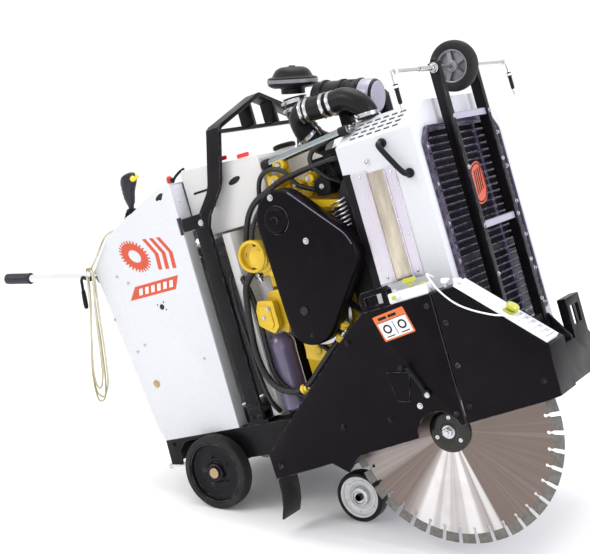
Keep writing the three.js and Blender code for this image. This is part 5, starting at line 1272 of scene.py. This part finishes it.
# a dark plate in the shadow black across the gap between the engine and the radiator housing: painted shade in the gap
sd = Shape()
sd.plate(rounded([(640, 470), (741, 560), (741, 905), (700, 905), (640, 800)], 6, 3), -244, -238)
make("engine_gap_shade_plate", sd, "dark", "chassis", ())
# small bright line coils seen behind the belt cover
coil = Shape()
for i in range(7):
    z = 764 + i * 13
    coil.tube(smooth_path([(652, -262, z), (670, -270, z + 3), (690, -270, z + 7), (703, -258, z + 11)], 4), 3.2, 14)
make("cooler_fins", coil, "stainless", "chassis", ())
# engine castings: ribs, plugs and filter lumps on the near side
eg = Shape()
for i in range(6):
    x = 470 + i * 34
    eg.box(x, x + 7, -228, -221, 345, 520)
for x, z in ((430, 360), (430, 740), (690, 360), (690, 560), (560, 740)):
    eg.bolt((x, -222, z), (0, -1, 0), 15, 7, 12)
eg.cyl((452, -238, 1020), (466, -262, 937), 9, None, 24, 0, 1)
eg.lathe((509, -262, 1005), (0, 1, 0), [(10, 0), (20, 0), (22, 3), (22, 26), (10, 28), (10, 0)], 40)
for x, z in ((552, 931), (600, 940)):
    eg.lathe((x, -262, z), (0, 1, 0), [(0, 0), (9, 1), (15, 5), (17, 12), (17, 40), (0, 40)], 36)
eg.beam((576, -246, 868), (678, -246, 842), 18, 22)
eg.cyl((478, -262, 960), (478, -205, 960), 22, None, 40, 0, 3)
make("engine_near_castings", eg, "yellow", "chassis", (), bevel=1.5, angle=40)
# far side of the engine: ribs, oil filter, starter, manifold runners and bolts
ef = Shape()
for i in range(7):
    ef.box(400 + i * 38, 408 + i * 38, 221, 227, 360, 560)
ef.box(345, 690, 221, 229, 590, 604)
for i in range(4):
    x = 480 + i * 56
    ef.tube(smooth_path([(x, 178, 900), (x, 205, 905), (x + 4, 222, 886), (x + 8, 226, 850)], 5), 15, 24)
ef.box(460, 690, 216, 238, 828, 852)
for x, z in ((350, 640), (350, 860), (560, 640), (690, 640), (455, 760)):
    ef.bolt((x, 221.5, z), (0, 1, 0), 15, 7, 12)
make("engine_far_castings", ef, "yellow", "chassis", (), bevel=1.5, angle=40)
eo = Shape()
eo.lathe((430, 222, 470), (0, 1, 0), [(0, 0), (40, 0), (40, 8), (37, 10), (37, 62), (33, 68), (20, 70), (0, 70)], 56)
eo.lathe((540, 258, 330), (1, 0, 0), [(0, 0), (34, 0), (36, 4), (36, 96), (33, 100), (26, 101), (26, 128), (22, 132), (0, 132)], 48)
eo.lathe((560, 222, 330), (0, 1, 0), [(0, 0), (22, 0), (22, 30), (0, 30)], 32)
make("engine_far_parts", eo, "frame", "chassis", (), bevel=0.6)
ed = Shape()
ed.tube(smooth_path([(620, 224, 420), (620, 240, 520), (612, 246, 700), (606, 240, 860), (600, 216, 960)], 6), 3.4, 14)
for x, z in ((400, 575), (460, 575), (520, 575), (580, 575), (640, 575)):
    ed.bolt((x, 221.5, z), (0, 1, 0), 11, 6, 9)
make("engine_far_bolts", ed, "steel", "chassis", ())
for s in (-1, 1):
    pb = Shape()
    for x, z in ((760, 960), (760, 640), (760, 330), (975, 960), (975, 640), (975, 330)):
        if s > 0 or z < 600 and x > 900 and z > 500:
            pb.bolt((x, s * 300, z), (0, s, 0), 10, 4.5, 8)
    if pb.v:
        make("housing_bolts_left", pb, "steel", "chassis", ())
cl2 = Shape()
for x, z in ((-180, 430), (-60, 300), (60, 300), (60, 940), (-150, 880), (-60, 640)):
    cl2.lathe((x, 300, z), (0, 1, 0), [(0, 0), (5, 0), (4.6, 1.6), (2.6, 2.6), (0, 2.9)], 24)
make("console_screws_left", cl2, "steel", "chassis", ())
eb = Shape()
eb.box(582, 706, -205, -196.5, 880, 992)
for x in (590, 624, 658, 692):
    eb.box(x, x + 6, -212, -196, 880, 992)
eb.cyl((640, -262, 905), (640, -200, 905), 30, None, 48, 0, 3)
make("engine_dark_box", eb, "frame", "chassis", (), bevel=1)
ez = Shape()
for x, z in ((509, 1005), (552, 931), (600, 940), (478, 960), (640, 905)):
    ez.bolt((x, -263, z), (0, -1, 0), 10, 5, 8)
ez.bolt((342, -276, 759), (0, -1, 0), 13, 6, 11)
for x, z in ((330, 566), (352, 590)):
    ez.bolt((x, -300, z), (0, -1, 0), 9, 4, 7)
make("engine_bolts", ez, "zinc", "chassis", ())
# yellow lobed housing and pointed plate left of the belt cover
yl = Shape()
yl.lathe((342, -262, 759), (0, -1, 0), [(0, 0), (50, 0), (52, 3), (52, 30), (49, 34), (44, 34), (41, 31), (41, 12), (36, 9), (20, 8), (18, 14), (0, 14)], 64)
yl.plate(rounded([(318, 622), (373, 611), (373, 530), (350, 509), (299, 545), (303, 593)], [10, 10, 8, 12, 12, 10], 5), -296, -270)
yl.plate(rounded([(318, 606), (358, 598), (358, 538), (346, 526), (314, 550), (316, 588)], 7, 4), -300, -294)
yl.cyl((390, -262, 700), (390, -276, 700), 18, None, 36, 0, 2)
make("engine_lobe_cover", yl, "yellow", "chassis", (), bevel=1.6, seg=3)
# white cable over the guard
wc = Shape()
wc.tube(smooth_path([(990, -398, 574), (986, -424, 588), (1000, -434, 566), (1013, -440, 545), (1051, -444, 501), (1089, -444, 474), (1154, -444, 445), (1195, -443, 434), (1222, -438, 418), (1236, -426, 392)], 8), 2.5, 16)
cable_ob = make("guard_cable", wc, "cable", "chassis", ())
cable_ob.parent = None
cable_ob.matrix_world = MR
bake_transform(cable_ob)
lr = Shape()
lr.lathe((83, -262, 243), (0, 0, 1), [(0, 0), (9, 0), (9, 8), (7, 11), (0, 12)], 28)
make("deck_red_plug", lr, "red", "chassis", ())
# floor of the bay: glossy dark cylinders and a lavender reservoir
by_ = Shape()
by_.cyl((290, -120, 260), (290, -120, 470), 44, None, 48, 0, 8)
by_.cyl((165, -262, 262), (165, -200, 262), 16, None, 32, 0, 3)
make("bay_cylinders", by_, "plastic", "chassis", ())
fl2 = Shape()
fl2.lathe((316, -232, 258), (0, 0, 1), [(0, 0), (39, 0), (44.5, 6), (44.5, 20), (43.6, 22), (43.6, 190), (44.8, 192), (44.8, 212), (39, 230), (26, 245), (0, 246.5)], 64)
make("filter_bowl", fl2, "bowl", "chassis", ())

# ------------------------------------------------------------------ pointer rope in a hank, and its lead
hs_, hc_ = math.sin(PITCH), math.cos(PITCH)
hang = lambda u, v, y: (PEG[0] - v * hs_ + u * hc_, y, PEG[1] - v * hc_ - u * hs_)


def rope_curve(name, pts, r, tied):
    cu = bpy.data.curves.new(name, "CURVE")
    cu.dimensions = "3D"
    cu.bevel_depth = r * 0.001
    cu.bevel_resolution = 5
    cu.use_fill_caps = True
    s = cu.splines.new("POLY")
    P3 = [W(p) for p in smooth_path(pts, 7)]
    s.points.add(len(P3) - 1)
    for q, p in zip(s.points, P3):
        q.co = (*p, 1)
    cu.materials.append(K["rope"])
    ob = bpy.data.objects.new(name, cu)
    bpy.context.scene.collection.objects.link(ob)
    length = sum((b - a).length for a, b in zip(P3, P3[1:]))
    return ob, length, P3


hank = [(-2, -12.5, -312)]
# three falls of different length, each up to the peg and over it
for k, (u, v, y) in enumerate(((36, 436, 0), (-14, 452, 0), (8, 404, 0))):
    dy = (-311.5, -316.5, -320.5)[k]
    s_ = 1 if k % 2 == 0 else -1
    w_ = (33, 26, 20)[k]
    hank += [(s_ * 9, -6, dy), (s_ * 13, 18, dy), (s_ * w_ * 0.6, v * 0.34, dy + 1.2), (s_ * w_, v * 0.70, dy - 0.6), (s_ * w_ * 0.92, v * 0.9, dy), (s_ * w_ * 0.3, v - 4, dy - 0.8),
             (-s_ * w_ * 0.45, v - 10, dy), (-s_ * w_ * 0.98, v * 0.86, dy - 0.6), (-s_ * w_ * 0.82, v * 0.55, dy + 0.5), (-s_ * w_ * 0.42, v * 0.22, dy - 0.5), (-s_ * 13, 16, dy), (-s_ * 8, -7, dy - 1), (0, -12.5, dy - 1.6)]
hank_pts = [hang(u, v, y) for u, v, y in hank]
rope_ob, rope_len, rp = rope_curve("pointer_rope", hank_pts, 3.3, True)
lead_pts = [(-190, -280, 968), (-214, -292, 961.5), (-232, -304, 941), (-262, -311, 905), (-290, -312, 880), (-306, -312, 868)]
lead_ob, lead_len, lp_ = rope_curve("pointer_rope_lead", lead_pts, 3.3, True)
knot = Shape()
kc = Vector(hang(-4, -9, -316))
for i in range(3):
    t = [(kc + Vector((math.cos(a) * 8, (i - 1) * 4.4, math.sin(a) * 9)) * 1.0) for a in [2 * math.pi * j / 22 for j in range(22)]]
    knot.loft([[p + (p - kc).normalized() * 2.6 * math.cos(b) + Vector((0, 2.6 * math.sin(b), 0)) for b in [2 * math.pi * m / 10 for m in range(10)]] for p in t], 0, cap=False, closed=True)
make("rope_knot", knot, "rope", "chassis", ())
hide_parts("rope_hank")
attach(rope_ob, "chassis")
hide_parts("rope_lead")
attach(lead_ob, "chassis")

# ------------------------------------------------------------------ floor and light
floor = material("studio_floor", (0.965, 0.965, 0.97), 0.65, spec=0.1, vary=0.004, scale=1.0, bump=0.0)
bpy.ops.mesh.primitive_plane_add(size=160, location=(0, 0, 0))
plane = bpy.context.active_object
plane.name = "studio_floor"
plane.data.materials.append(floor)
world = bpy.data.worlds.new("studio")
bpy.context.scene.world = world
bpy.context.scene.view_settings.view_transform = "Standard"
world.use_nodes = True
wb = world.node_tree.nodes["Background"]
wb.inputs["Color"].default_value = (1.0, 1.0, 1.0, 1)
wb.inputs["Strength"].default_value = 1.06


def area(name, loc, target, size, power, colour=(1, 1, 1), size_y=None):
    data = bpy.data.lights.new(name, "AREA")
    data.shape = "RECTANGLE"
    data.size = size
    data.size_y = size_y or size
    data.energy = power
    data.color = colour
    ob = bpy.data.objects.new(name, data)
    bpy.context.scene.collection.objects.link(ob)
    ob.location = loc
    ob.rotation_euler = (Vector(target) - Vector(loc)).to_track_quat("-Z", "Y").to_euler()
    return ob


area("key", (-1.6, -3.4, 3.6), (0, -0.3, 0.6), 1.8, 62, (1.0, 0.985, 0.97))
area("front_fill", (4.2, -0.6, 2.4), (0.6, 0, 0.7), 1.6, 75, (0.86, 0.84, 1.0))
area("low_strip", (1.6, -3.6, 0.45), (0.7, -0.4, 0.45), 0.5, 9, (0.93, 0.92, 1.0), 1.8)
area("top", (0, 0.5, 4.6), (0, 0, 0.8), 2.6, 80)
